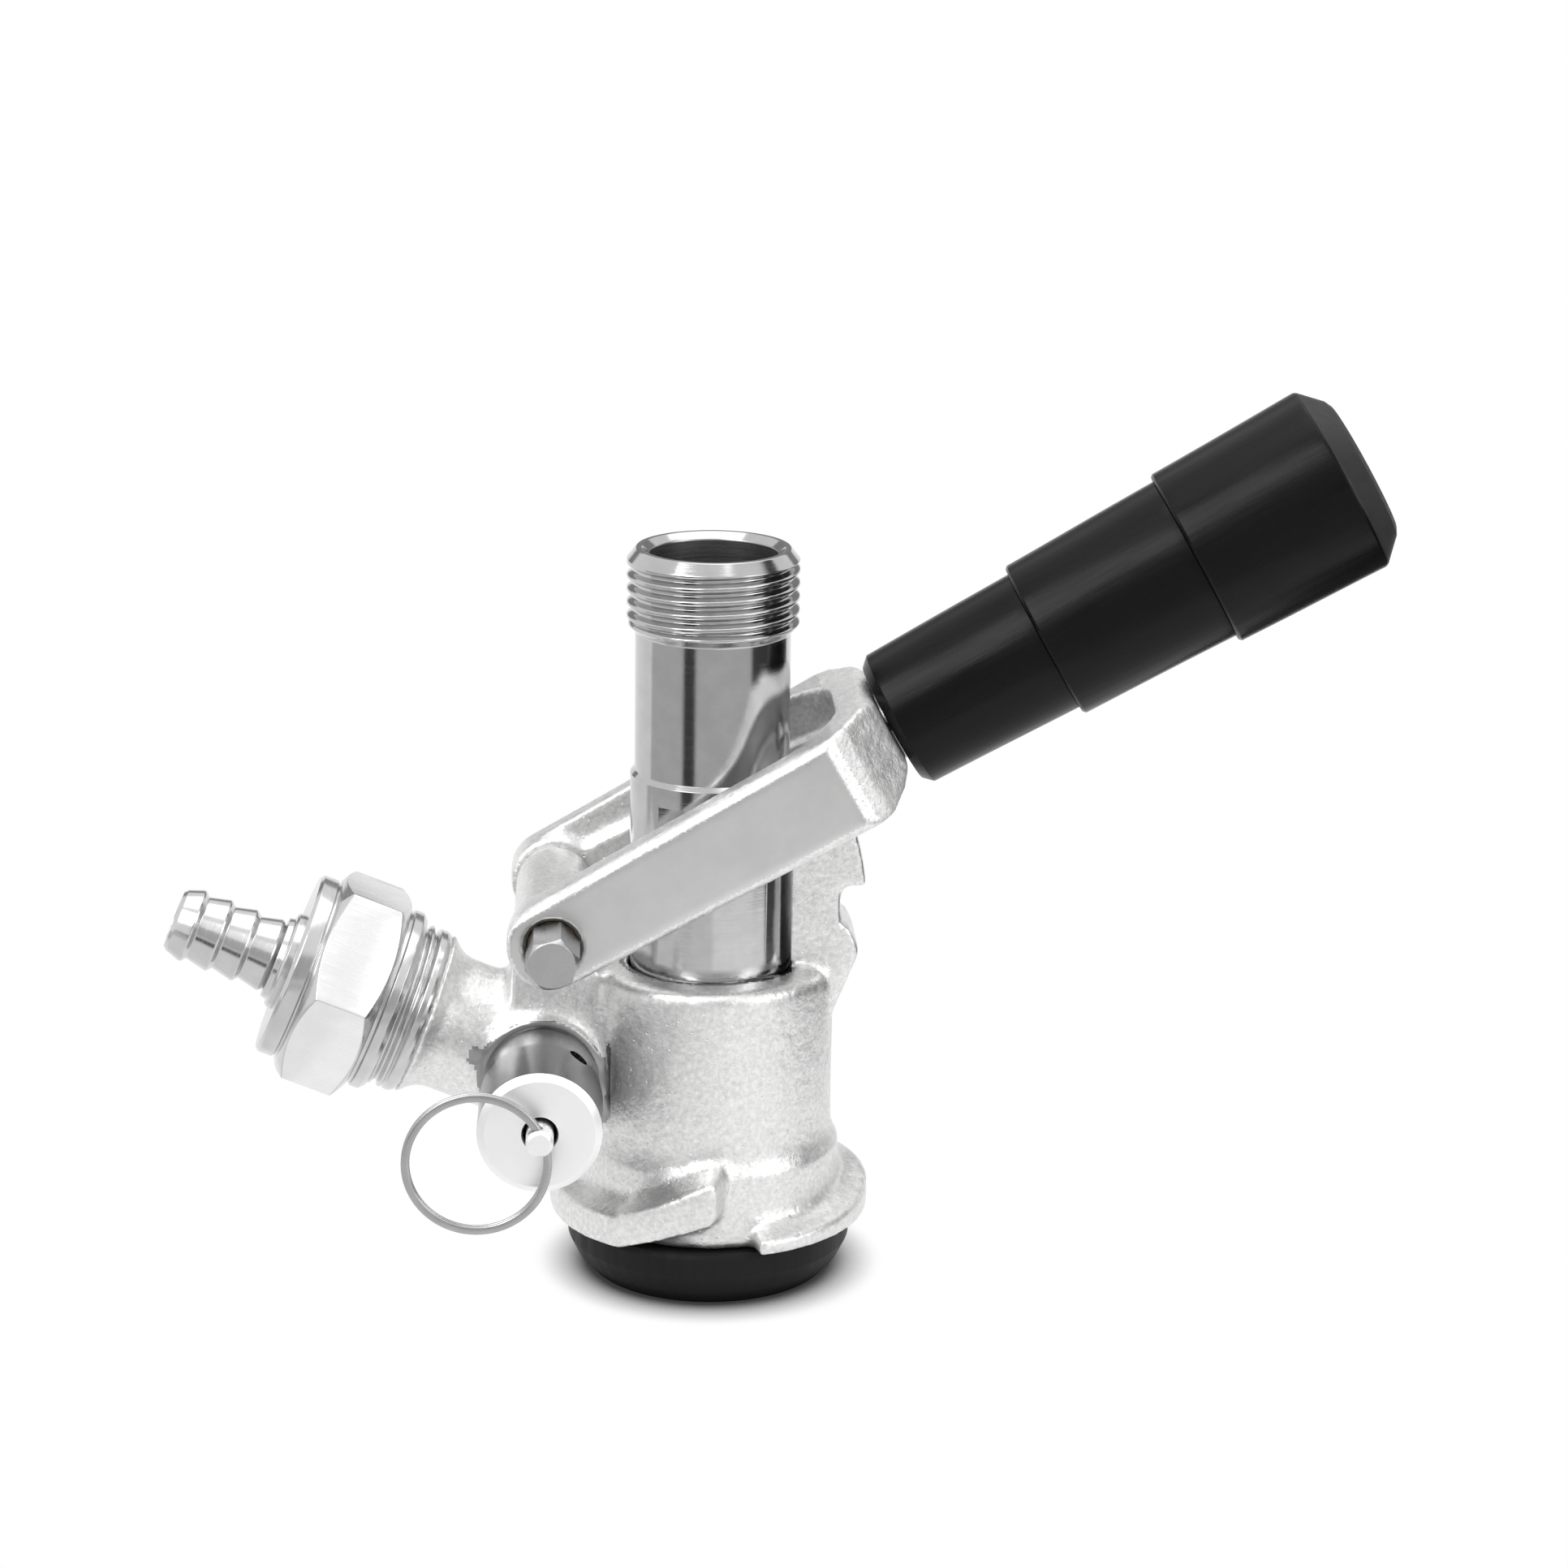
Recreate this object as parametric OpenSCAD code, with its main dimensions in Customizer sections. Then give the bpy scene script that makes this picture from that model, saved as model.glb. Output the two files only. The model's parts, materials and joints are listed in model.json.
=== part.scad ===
// Lever-handle keg coupler: a cast body with two bayonet lugs, a sliding beer probe,
// a forked lever with a pull grip, a side gas inlet with a hose tailpiece, and a
// pressure relief valve with a pull ring. Origin: centre of the seal's flat underside.
// +Z runs up the probe, +X towards the handle, -X towards the gas inlet, -Y towards the relief valve.

/* [Body] */
// Outside diameter of the skirt that carries the lugs
skirt_d = 35.5; // [34:0.1:38]
// Height of the skirt above the seal
skirt_h = 10.8; // [9:0.1:14]
// Outside diameter of the body above the skirt
neck_d = 33.4; // [31:0.1:34]
// Height of the casting from the seal to the rim
body_h = 35.9; // [34:0.1:42]
// Rounding of the rim's outer edge
rim_round = 1.6; // [0.5:0.1:3]
// Width of the lead-in chamfer at the mouth of the bore
mouth_chamfer = 0.8; // [0.2:0.1:2]
// Diameter of the gas chamber round the probe
chamber_d = 26; // [25:0.1:28]
// Height of the gas chamber above the bottom of the casting
chamber_h = 18; // [15:0.1:20]

/* [Bayonet lugs] */
// Diameter over the two lugs
lug_d = 43.8; // [41:0.1:45]
// Height of a lug's outer face
lug_h = 4.4; // [3:0.1:6]
// Height of the thin leading end
lug_tip_h = 2.2; // [1.5:0.1:3]
// Height of the lug's flat underside above the casting's bottom edge
lug_lift = 0.4; // [0:0.1:2]
// Rise of the lug's top from its outer edge to the skirt
lug_bevel = 1.7; // [0.5:0.1:2.5]
// Slope of the raised end, in degrees
lug_ramp_angle = 21; // [10:1:30]
// Slope of the thin end's top, in degrees
lug_lead_angle = 8; // [4:1:12]
// Bearing of the thin end of the first lug, in degrees from +X
lug_start = -73; // [-80:1:-60]
// Bearing where the underside starts to climb, in degrees
lug_knee = 55; // [45:1:60]
// Bearing of the raised end's tip, in degrees
lug_end = 91; // [85:1:95]

/* [Bottom seal] */
// Outside diameter of the seal
seal_d = 38.7; // [37:0.1:41]
// Height of the seal below the casting
seal_h = 8; // [6:0.1:10]
// Diameter of the flat face that the coupler stands on
seal_foot_d = 32.4; // [30:0.1:34]
// Height of the seal's chamfer
seal_chamfer_h = 4.4; // [2:0.1:5]
// Diameter of the hole through the seal
seal_hole_d = 24; // [23:0.1:26]
// Height of the seal's neck inside the casting
seal_neck_h = 4; // [2:0.1:6]
// Wall of the seal's neck
seal_neck_wall = 2.6; // [1.5:0.1:3]

/* [Probe] */
// Diameter of the probe where it slides in the body
probe_d = 21.9; // [20.5:0.1:22.5]
// Radial play between probe and bore
probe_play = 0.06; // [0.02:0.01:0.1]
// Diameter of the upper tube
tube_d = 20.7; // [19:0.1:21]
// Outside diameter of the beer thread
beer_thread_d = 23.0; // [22:0.1:25]
// Length of the beer thread
beer_thread_h = 10.4; // [7:0.1:13]
// Diameter of the beer bore at the top
beer_bore_d = 17.1; // [15:0.1:18]
// Depth of the beer bore
beer_bore_h = 26; // [16:0.5:30]
// Diameter of the beer passage below
beer_way_d = 9.6; // [8:0.1:11]
// Height of the probe's top above the rim
probe_reach = 56.9; // [50:0.1:60]
// Height of the step between the tubes above the rim
step_rise = 26.7; // [24:0.1:30]
// Width of the chamfer at the step
step_chamfer = 0.6; // [0.2:0.1:0.6]
// Width across the two flats that the lever's lugs drive
flats_w = 16.4; // [15:0.1:18]
// Half length of a flat, square to the probe
flat_half = 7.4; // [7.3:0.1:8]
// Vertical play of a lever lug in its flat
lug_play = 0.42; // [0.35:0.01:0.6]
// Diameter of the probe's lower end
nose_d = 17; // [15:0.1:18]
// Height of the probe's lower end above the table
nose_z = 5; // [4.6:0.1:7]
// Thickness of an O-ring
oring_t = 1.8; // [1.2:0.1:2.2]
// Height of the upper O-ring below the rim
oring_drop = 2.5; // [2:0.1:4]
// Distance between the two O-rings
oring_pitch = 2.8; // [2.5:0.1:4]
// Diameter of the beer check ball
ball_d = 9; // [7:0.1:9]
// Lift of the beer check ball
ball_lift = 3; // [1:0.1:5]

/* [Lever] */
// Distance from the probe's axis to the lever's pivot
pivot_x = 21.2; // [21:0.1:22.5]
// Height of the pivot above the rim
pivot_rise = 7.1; // [7:0.1:8]
// Angle of the raised lever above level, in degrees
lever_angle = 29.6; // [28:0.1:31]
// Angle that the lever swings down to, above level, in degrees
closed_angle = 2.3; // [2:0.1:3]
// Width over the two arms
fork_w = 36.2; // [35:0.1:38]
// Gap between the arms above the ledge
gap_w = 26.4; // [25.6:0.1:27]
// Gap between the arms below the ledge
low_gap_w = 23.4; // [23.2:0.1:24]
// Height of an arm at the pivot
arm_h = 12.2; // [11:0.1:13]
// Height of an arm at the yoke
yoke_h = 13.8; // [13:0.1:15]
// Distance from the pivot to the ends of the arms' flat faces
arm_l = 45.1; // [44:0.1:46]
// Thickness of the yoke's closed end
yoke_wall = 5.5; // [5:0.1:6]
// Distance from the pivot to the yoke's end face
yoke_l = 51.8; // [51:0.1:53]
// Width of the yoke's end face
yoke_end_w = 18.4; // [16:0.1:19]
// Chamfer along the arms' outer edges
arm_chamfer = 1.0; // [0.3:0.1:1.5]
// Distance from the pivot to the lever's inner lugs
drive_r = 24.4; // [24:0.1:25]
// Diameter of a lever lug
drive_d = 7.7; // [7:0.1:8]

/* [Pivot] */
// Diameter of the hinge barrel on the body
barrel_d = 10.6; // [10:0.1:11]
// Length of the hinge barrel
barrel_w = 22.6; // [22:0.1:22.8]
// Diameter of a pivot bolt
bolt_d = 4.8; // [4:0.1:5]
// Width across the flats of a bolt head
bolt_head_w = 6.35; // [6.1:0.05:6.6]
// Height of a bolt head
bolt_head_h = 8.0; // [7:0.1:9]
// Depth of a bolt in the barrel
bolt_reach = 7.5; // [6:0.1:10]
// Outside diameter of a pivot bushing
bushing_d = 6.6; // [6.2:0.1:6.8]
// Diameter of the counterbore round a bolt head
spotface_d = 8; // [7.8:0.1:8.5]
// Depth of that counterbore
spotface_h = 0.9; // [0.5:0.1:1.5]

/* [Guide post] */
// Width of the guide post
post_w = 11; // [9:0.1:12]
// Share of the room between bore and yoke that the post fills
post_share = 0.709; // [0.70:0.001:0.72]
// Height of the post's top above the rim
post_h = 23.6; // [22:0.1:23.8]
// Height of the notch above the rim
notch_rise = 5.95; // [5.9:0.05:6.1]
// Height of the notch
notch_h = 5.5; // [5.4:0.1:5.8]
// Share of the post's thickness left behind the notch
notch_share = 0.63; // [0.60:0.01:0.64]
// Share of the post's thickness that the lower lobe reaches
lobe_share = 0.89; // [0.80:0.01:0.92]

/* [Handle] */
// Length of the grip's first step
grip_l1 = 23.0; // [20:0.1:25]
// Length of the grip's second step
grip_l2 = 22.7; // [20:0.1:25]
// Length of the grip's third step
grip_l3 = 21.9; // [20:0.1:25]
// Length of the chamfer at the grip's end
grip_end_l = 3.4; // [2:0.1:5]
// Diameter of the grip at its base
grip_d1 = 19.2; // [18.4:0.1:20]
// Diameter where the second step starts
grip_d2 = 22.4; // [21.8:0.1:23]
// Diameter where the third step starts
grip_d3 = 25.3; // [24.4:0.1:26]
// Growth in diameter along each step
grip_taper = 1.0; // [0:0.1:1.4]
// Diameter of the grip's end face
grip_face_d = 19.2; // [17:0.1:21]
// Diameter of the handle stem
stem_d = 10; // [9:0.1:10.2]
// Radial play of the grip on the stem
grip_play = 0.07; // [0.03:0.01:0.1]
// Pull travel of the grip
grip_travel = 4; // [3:0.1:4]
// Travel of the locking plunger into the notch
plunger_travel = 3.4; // [3:0.1:3.5]
// Diameter of the locking plunger
plunger_d = 5; // [4.5:0.1:5]

/* [Gas inlet] */
// Height at which the inlet's axis meets the probe's axis
inlet_z = 20.1; // [19.9:0.1:20.3]
// Climb of the inlet's axis, in degrees
inlet_angle = 22; // [21.5:0.1:22.5]
// Diameter of the inlet neck
inlet_d = 18.6; // [17.5:0.1:20]
// Outside diameter of the gas thread
gas_thread_d = 23.0; // [22:0.1:24]
// Distance from the probe's axis to the start of the gas thread
gas_thread_start = 42.3; // [41:0.1:43]
// Distance from the probe's axis to the end of the gas thread
gas_thread_end = 56.2; // [55.8:0.1:56.6]
// Width across the flats of the gas nut
nut_w = 27; // [26:0.1:28]
// Distance from the probe's axis to the nut's near end
nut_start = 46.1; // [45:0.1:47]
// Length of the nut's round collar
nut_collar_l = 2.6; // [2:0.1:3]
// Length of the nut's hexagon
nut_hex_l = 10.0; // [8:0.1:11]
// Length of the nut's round flange
nut_flange_l = 2.9; // [2:0.1:3.5]
// Diameter of the nut's collar and flange
nut_round_d = 25.4; // [25:0.1:26]
// Distance from the probe's axis to the tip of the hose barb
barb_tip = 78.0; // [77:0.1:81]
// Diameter over a barb
barb_d = 10.2; // [9.6:0.1:11]
// Diameter at the root of a barb
barb_root_d = 8.6; // [8.2:0.1:9]
// Length of a barb
barb_pitch = 3.7; // [3.2:0.1:3.8]
// Number of barbs
barb_count = 4; // [3:1:4]
// Diameter of the gas passage through the tailpiece
tail_way_d = 5.6; // [4:0.1:6.5]
// Thickness of the tailpiece washer
washer_t = 1.4; // [1:0.1:1.6]

/* [Relief valve] */
// Distance from the probe's axis to the relief valve's axis
relief_x = 22.8; // [22.5:0.1:23.1]
// Diameter of the relief valve's housing
relief_d = 16.4; // [15.5:0.1:17]
// Diameter of the housing where it meets the boss
relief_root_d = 15.2; // [15:0.1:15.4]
// Length of the housing outside the boss
relief_l = 20.0; // [18:0.1:22]
// Distance from the middle plane to the face of the boss
relief_seat = 9.5; // [9.4:0.1:10]
// Diameter of the boss on the body
relief_boss_d = 17.6; // [17:0.1:18]
// Diameter of the threaded spigot
relief_spigot_d = 11; // [10:0.1:12]
// Diameter of the valve stem
relief_stem_d = 3.6; // [3.2:0.1:4]
// Diameter of the hole that the stem comes out of
relief_hole_d = 4.4; // [4.2:0.1:5]
// Length of the stem outside the housing
relief_out = 3.8; // [3.4:0.1:5]
// Pull travel of the valve stem
relief_travel = 3; // [2:0.1:3]
// Outside diameter of the pull ring
ring_d = 19.6; // [18:0.1:22]
// Thickness of the pull ring
ring_t = 1.2; // [1:0.1:1.3]
// Bearing of the ring's centre from the stem, in degrees above -X
ring_bearing = -21; // [-30:1:-15]
// Diameter of the vent hole
vent_d = 2.8; // [2:0.1:3]

/* [Hidden] */

// Steel and rubber colours
cast_steel = [0.80, 0.80, 0.79];
bright_steel = [0.72, 0.73, 0.75];
spring_steel = [0.55, 0.56, 0.58];
black_rubber = [0.07, 0.07, 0.08];
black_plastic = [0.04, 0.04, 0.045];
clear_plastic = [0.85, 0.83, 0.76];
brass = [0.80, 0.65, 0.33];

// How far a cutting shape runs past what it cuts
over = 1;
// Clearance between pieces that move apart
gap = 0.35;
// Clearance between pieces that are fastened together
seat = 0.03;
// Radial clearance of a hinge or guide that runs in a bore
running = 0.05;
// Sides of a round face
fine = 96;
$fn = 64;

// Heights above the table
casting_z = seal_h;
rim_z = casting_z + body_h;
chamber_z = casting_z + chamber_h;
probe_top = rim_z + probe_reach;
step_z = rim_z + step_rise;
pivot_z = rim_z + pivot_rise;
bore_r = probe_d / 2 + probe_play;

// Body casting
skirt_top_z = casting_z + skirt_h;
cove_h = (skirt_d - neck_d) / 2;
seal_recess_d = seal_hole_d + 2 * seal_neck_wall + 2 * seat;
web_near_x = pivot_x + barrel_d / 2;
web_w = 15.4;
web_foot_share = 0.62;
cast_fillet = 2.4;

// Lugs
lug_r = lug_d / 2;
lug_z = casting_z + lug_lift;
lug_root_r = skirt_d / 2 - cove_h;
lug_mid = (lug_knee + lug_end) / 2;
lug_reach = lug_r * sin((lug_end - lug_knee) / 2);
lug_rise = 2 * lug_reach * tan(lug_ramp_angle);
lug_nose_share = 0.45;
lug_nose_turn = 7;

// Seal
seal_edge_round = 0.6;
seal_lip_h = 0.8;

// Probe
throw = drive_r * (sin(lever_angle) - sin(closed_angle));
flat_z = pivot_z + drive_r * sin(lever_angle);
flat_h = drive_d + 2 * lug_play;
thread_z = probe_top - beer_thread_h;
thread_chamfer = 1.2;
thread_relief_h = 1.0;
rim_chamfer = 0.9;
nose_top_z = rim_z - oring_drop - oring_pitch - oring_t - over;
waist_z = nose_top_z - oring_t;
retainer_t = 1.6;
retainer_slots = 3;
ball_seat_z = nose_z + retainer_t + ball_d + ball_lift + 2 * gap;
ball_seat_share = 0.72;
tip_seal_t = 2.6;
tip_seal_h = 4.2;
tip_groove_drop = 1.2;

// Lever
gap_r = 9;
low_gap_r = 7.5;
opening_end = yoke_l - yoke_wall;
ledge_v = 2.4;
ledge_slope = 2.6;
hub_d = 12;
yoke_under_share = 1.4;
yoke_corner_share = 0.5;
yoke_lift_share = 0.45;
yoke_top_share = 0.4;
low_end_share = 0.17;
edge_step_share = 0.24;
yoke_round = 3;
lug_face = flats_w / 2 + gap;

// Guide post: its thickness beyond the bore, and the outline points given as shares
post_t = (opening_end - pivot_x - bore_r) * post_share;
post_r = pivot_x + bore_r + post_t;
notch_x = bore_r + post_t * notch_share;
lobe_x = bore_r + post_t * lobe_share;
lobe_edge_share = 0.125;
lobe_upper_share = 0.085;
lobe_shoulder_share = 0.7;
lobe_lip_share = 0.45;
lobe_lip_drop_share = 0.25;
rim_step_share = 0.33;
foot_x_share = 0.94;
foot_z_share = 0.5;

// Handle
handle_base = yoke_l + gap;
stem_socket = 2.4;
stem_start = yoke_l - stem_socket;
stem_bore_d = 7.6;
stem_bore_l = 17.6;
stem_bore_end = stem_start + stem_bore_l;
stem_l = 50.6;
stem_end = stem_start + stem_l;
stem_thread_d = 8;
stem_thread_l = 5;
stem_nut_d = 13.6;
stem_nut_l = 4;
rod_d = 2.4;
rod_hole_d = 3.2;
plunger_tip = post_r + gap;
collar_l = 2;
collar_u = stem_start + plunger_travel + gap;
sleeve_d = 5.2;
sleeve_bore_d = 4.2;
sleeve_l = 8.4;
sleeve_lip_l = 0.8;
sleeve_end = collar_u + collar_l + sleeve_l;
plunger_bevel = 0.6;
plunger_spring_d = 6.45;
plunger_wire_d = 0.7;
plunger_turns = 6;
rod_head_d = 3.5;
rod_head_l = 1.4;
rod_head_u = sleeve_end - sleeve_lip_l - grip_travel - gap - rod_head_l;
grip_cavity_d = 14.6;
grip_shoulder = 16.5;
grip_bevel = 1.2;
grip_edge = 0.3;
plug_l = 10;
plug_rib = 1.0;
plug_end = handle_base + grip_l1 + grip_l2 + grip_l3 + grip_end_l;
rod_bite = 6;
grip_spring_d = 12.2;
grip_wire_d = 1.2;
grip_turns = 7;
spring_sides = 6;
spring_steps = 12;
bolt_turn = 12;
bolt_cone_share = 3;
bolt_top_share = 0.96;

// Gas inlet
gas_way_d = 5;
gas_way_start = chamber_d / 2 / cos(inlet_angle) - over;
gas_bore_d = 13;
gas_bore_l = 13;
nut_end = nut_start + nut_collar_l + nut_hex_l + nut_flange_l;
nut_roll = 6;
nut_chamfer_share = 0.955;
nut_chamfer_w = 3.6;
nut_chamfer_l = nut_chamfer_w * tan(30);
nut_round_edge = 0.5;
tail_flange_d = 19;
tail_flange_l = 2;
tail_flange_w = gas_thread_end + washer_t;
tail_hub_d = 13.4;
tail_ring_l = 1.0;
barb_first = barb_tip - 2.6;
barb_shoulder = 0.8;
barb_tip_d = 8.6;
barb_round = 0.4;
duck_bore_d = 6;
duck_flange_d = 12.6;
duck_flange_l = 1.8;
duck_tube_d = 8.6;
duck_l = 8.5;
duck_wall = 1.2;
duck_slit = 0.8;

// Relief valve
relief_z = inlet_z + relief_x * tan(inlet_angle);
relief_end = relief_seat + relief_l;
relief_wall = 1.5;
relief_grow_l = 8;
relief_floor = 2.4;
relief_port_d = 4.2;
relief_spigot_l = 5;
relief_cap_t = 1.6;
relief_chamfer = 0.8;
relief_poppet_d = 10;
relief_poppet_t = 2;
relief_seal_d = 8;
relief_seal_t = 1.6;
relief_seal_z = relief_seat + relief_floor + gap;
relief_spring_d = 7.4;
relief_wire_d = 0.9;
relief_turns = 6;
relief_poppet_z = relief_seal_z + relief_seal_t;
ring_hole_d = 2.1;
ring_hole_drop = 1.6;
ring_r = (ring_d - ring_t) / 2;
ring_y = relief_end + relief_out - ring_hole_drop;
vent_bearing = 52;
vent_share = 0.42;
vent_y = relief_seat + relief_l * vent_share;

// Points of an arc about [x, y]
function arc_points(centre, r, from, to, steps) =
    [for (i = [0:steps]) let (a = from + (to - from) * i / steps)
        [centre[0] + r * cos(a), centre[1] + r * sin(a)]];

module lever_frame() {
    translate([-pivot_x, 0, pivot_z]) rotate([0, -lever_angle, 0]) children();
}

module handle_frame() {
    lever_frame() rotate([0, 90, 0]) children();
}

module inlet_frame() {
    translate([0, 0, inlet_z]) rotate([0, inlet_angle - 90, 0]) children();
}

module relief_frame() {
    translate([-relief_x, 0, relief_z]) rotate([90, 0, 0]) children();
}

// A ring between two radii, from z0 to z1
module tube(outer_d, inner_d, z0, z1) {
    rotate_extrude($fn = fine)
        polygon([[inner_d / 2, z0], [outer_d / 2, z0], [outer_d / 2, z1], [inner_d / 2, z1]]);
}

// A rod along Z, from z0 to z1
module rod(d, z0, z1) {
    translate([0, 0, z0]) cylinder(d = d, h = z1 - z0);
}

// A compression spring along Z: one unbroken wire from z0 to z1
module coil_spring(mean_d, wire_d, turns, z0, z1) {
    rings = turns * spring_steps;
    lift = z1 - z0 - wire_d;
    points = [for (i = [0:rings], j = [0:spring_sides - 1])
        let (a = 360 * i / spring_steps,
             b = 360 * j / spring_sides,
             r = mean_d / 2 + wire_d / 2 * cos(b),
             z = z0 + wire_d / 2 + lift * i / rings + wire_d / 2 * sin(b))
        [r * cos(a), r * sin(a), z]];
    sides = [for (i = [0:rings - 1], j = [0:spring_sides - 1])
        let (k = (j + 1) % spring_sides,
             p = i * spring_sides,
             q = p + spring_sides)
        each [[p + j, q + j, q + k], [p + j, q + k, p + k]]];
    first = [for (j = [1:spring_sides - 2]) [0, j, j + 1]];
    base = rings * spring_sides;
    last = [for (j = [1:spring_sides - 2]) [base, base + j + 1, base + j]];
    polyhedron(points = points, faces = concat(sides, first, last));
}

// Outer form of the casting round the probe
module body_barrel() {
    rotate_extrude($fn = fine)
        polygon(concat(
            [[0, casting_z], [skirt_d / 2, casting_z], [skirt_d / 2, skirt_top_z]],
            arc_points([skirt_d / 2, skirt_top_z + cove_h], cove_h, 270, 180, 6),
            [[neck_d / 2, rim_z - rim_round]],
            arc_points([neck_d / 2 - rim_round, rim_z - rim_round], rim_round, 0, 90, 8),
            [[0, rim_z]]));
}

// The level part of a lug, thinned towards its leading end by a tilted plane
module lug_band() {
    difference() {
        rotate([0, 0, lug_start])
            rotate_extrude(angle = lug_knee - lug_start, $fn = fine)
                polygon([[lug_root_r, lug_z], [lug_r, lug_z], [lug_r, lug_z + lug_h],
                         [lug_root_r, lug_z + lug_h + lug_bevel]]);
        rotate([0, 0, lug_start])
            translate([lug_r, 0, lug_z + lug_tip_h])
                rotate([0, lug_lead_angle, 0])
                    translate([-2 * lug_d, -lug_d, 0])
                        cube([3 * lug_d, 2 * lug_d, lug_d]);
    }
}

// The raised end of a lug: a band that climbs and ends in a round nose
module lug_ramp() {
    nose_r = lug_h * lug_nose_share;
    climb = tan(lug_ramp_angle);
    low_x = -lug_reach - over;
    end_x = lug_reach;
    end_z = lug_z + lug_rise;
    intersection() {
        rotate([0, 0, lug_knee])
            tube_sector(lug_end - lug_knee + lug_nose_turn);
        rotate([0, 0, lug_mid - 90])
            rotate([90, 0, 180])
                linear_extrude(lug_r + over)
                    polygon(concat(
                        [[low_x, lug_z - over * climb]],
                        arc_points([end_x - nose_r, end_z + nose_r / 2], nose_r,
                                   lug_ramp_angle - 90, 0, 6),
                        [[end_x, end_z + 2 * lug_h], [low_x, end_z + 2 * lug_h]]));
        rotate([0, 0, lug_mid - 90])
            translate([0, lug_r * cos((lug_end - lug_knee) / 2), 0])
                rotate([-atan(lug_bevel / (lug_r - lug_root_r)), 0, 0])
                    rotate([90, 0, 0])
                        mirror([1, 0, 0])
                            linear_extrude(2 * lug_r, center = true)
                                polygon(concat(
                                    [[low_x, -lug_h], [end_x + over, -lug_h]],
                                    arc_points([end_x + over - nose_r, end_z + lug_h - nose_r],
                                               nose_r, 0, 90 + lug_ramp_angle, 6),
                                    [[low_x, lug_z + lug_h - over * climb]]));
    }
}

// A sector of the ring that the lugs are cut from
module tube_sector(turn) {
    rotate_extrude(angle = turn, $fn = fine)
        polygon([[lug_root_r, casting_z], [lug_r, casting_z],
                 [lug_r, lug_z + lug_rise + 2 * lug_h], [lug_root_r, lug_z + lug_rise + 2 * lug_h]]);
}

module lugs() {
    for (turn = [0, 180])
        rotate([0, 0, turn]) {
            lug_band();
            lug_ramp();
        }
}

// Web that carries the hinge barrel, and the barrel itself
module hinge_tower() {
    translate([0, web_w / 2, 0]) rotate([90, 0, 0])
        linear_extrude(web_w)
            polygon([[-web_near_x, pivot_z], [-web_near_x - over * web_foot_share, relief_z + inlet_d / 2],
                     [-web_near_x, relief_z], [0, inlet_z], [0, rim_z - rim_round],
                     [-neck_d / 2 * cos(30), rim_z - rim_round / 2],
                     [-pivot_x + barrel_d / 2 * cos(45), pivot_z - barrel_d / 2 * sin(45)],
                     [-pivot_x + barrel_d / 2, pivot_z]]);
    translate([-pivot_x, barrel_w / 2, pivot_z]) rotate([90, 0, 0])
        cylinder(d = barrel_d, h = barrel_w, $fn = fine);
}

// Post beside the probe, with the notch that the plunger drops into
module guide_post() {
    notch_z = rim_z + notch_rise;
    lobe_z = rim_z + rim_round;
    lobe_out = lobe_x - notch_x;
    rim_step = rim_round * rim_step_share;
    difference() {
        intersection() {
            translate([0, post_w / 2, 0]) rotate([90, 0, 0])
                linear_extrude(post_w)
                    polygon([[0, rim_z - neck_d / 2],
                             [neck_d / 2 * foot_x_share, rim_z - neck_d / 2 * foot_z_share],
                             [lobe_x - lobe_out * lobe_edge_share, lobe_z - rim_step],
                             [lobe_x, lobe_z + rim_step],
                             [lobe_x - lobe_out * lobe_upper_share, lobe_z + rim_round],
                             [notch_x + lobe_out * lobe_shoulder_share,
                              notch_z - notch_h * lobe_lip_drop_share],
                             [notch_x + lobe_out * lobe_lip_share, notch_z],
                             [notch_x, notch_z], [notch_x, notch_z + notch_h],
                             [notch_x + notch_h, notch_z + notch_h],
                             [notch_x + notch_h, rim_z + post_h], [0, rim_z + post_h]]);
            translate([-pivot_x, post_w, pivot_z]) rotate([90, 0, 0])
                cylinder(r = post_r, h = 2 * post_w, $fn = 2 * fine);
        }
        rod(2 * bore_r + 2 * mouth_chamfer, casting_z, rim_z + post_h + over);
    }
}

module inlet_neck() {
    inlet_frame() {
        rod(inlet_d, neck_d / 4, gas_thread_start);
        rotate_extrude($fn = fine)
            polygon([[0, gas_thread_start - cast_fillet], [inlet_d / 2, gas_thread_start - cast_fillet],
                     [gas_thread_d / 2, gas_thread_start - cast_fillet / 4],
                     [gas_thread_d / 2, gas_thread_end], [0, gas_thread_end]]);
    }
}

module relief_boss() {
    relief_frame()
        rotate_extrude($fn = fine)
            polygon([[0, -inlet_d / 4], [relief_boss_d / 2, -inlet_d / 4],
                     [relief_boss_d / 2, relief_seat - relief_chamfer / 2],
                     [relief_boss_d / 2 - relief_chamfer / 2, relief_seat], [0, relief_seat]]);
}

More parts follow.
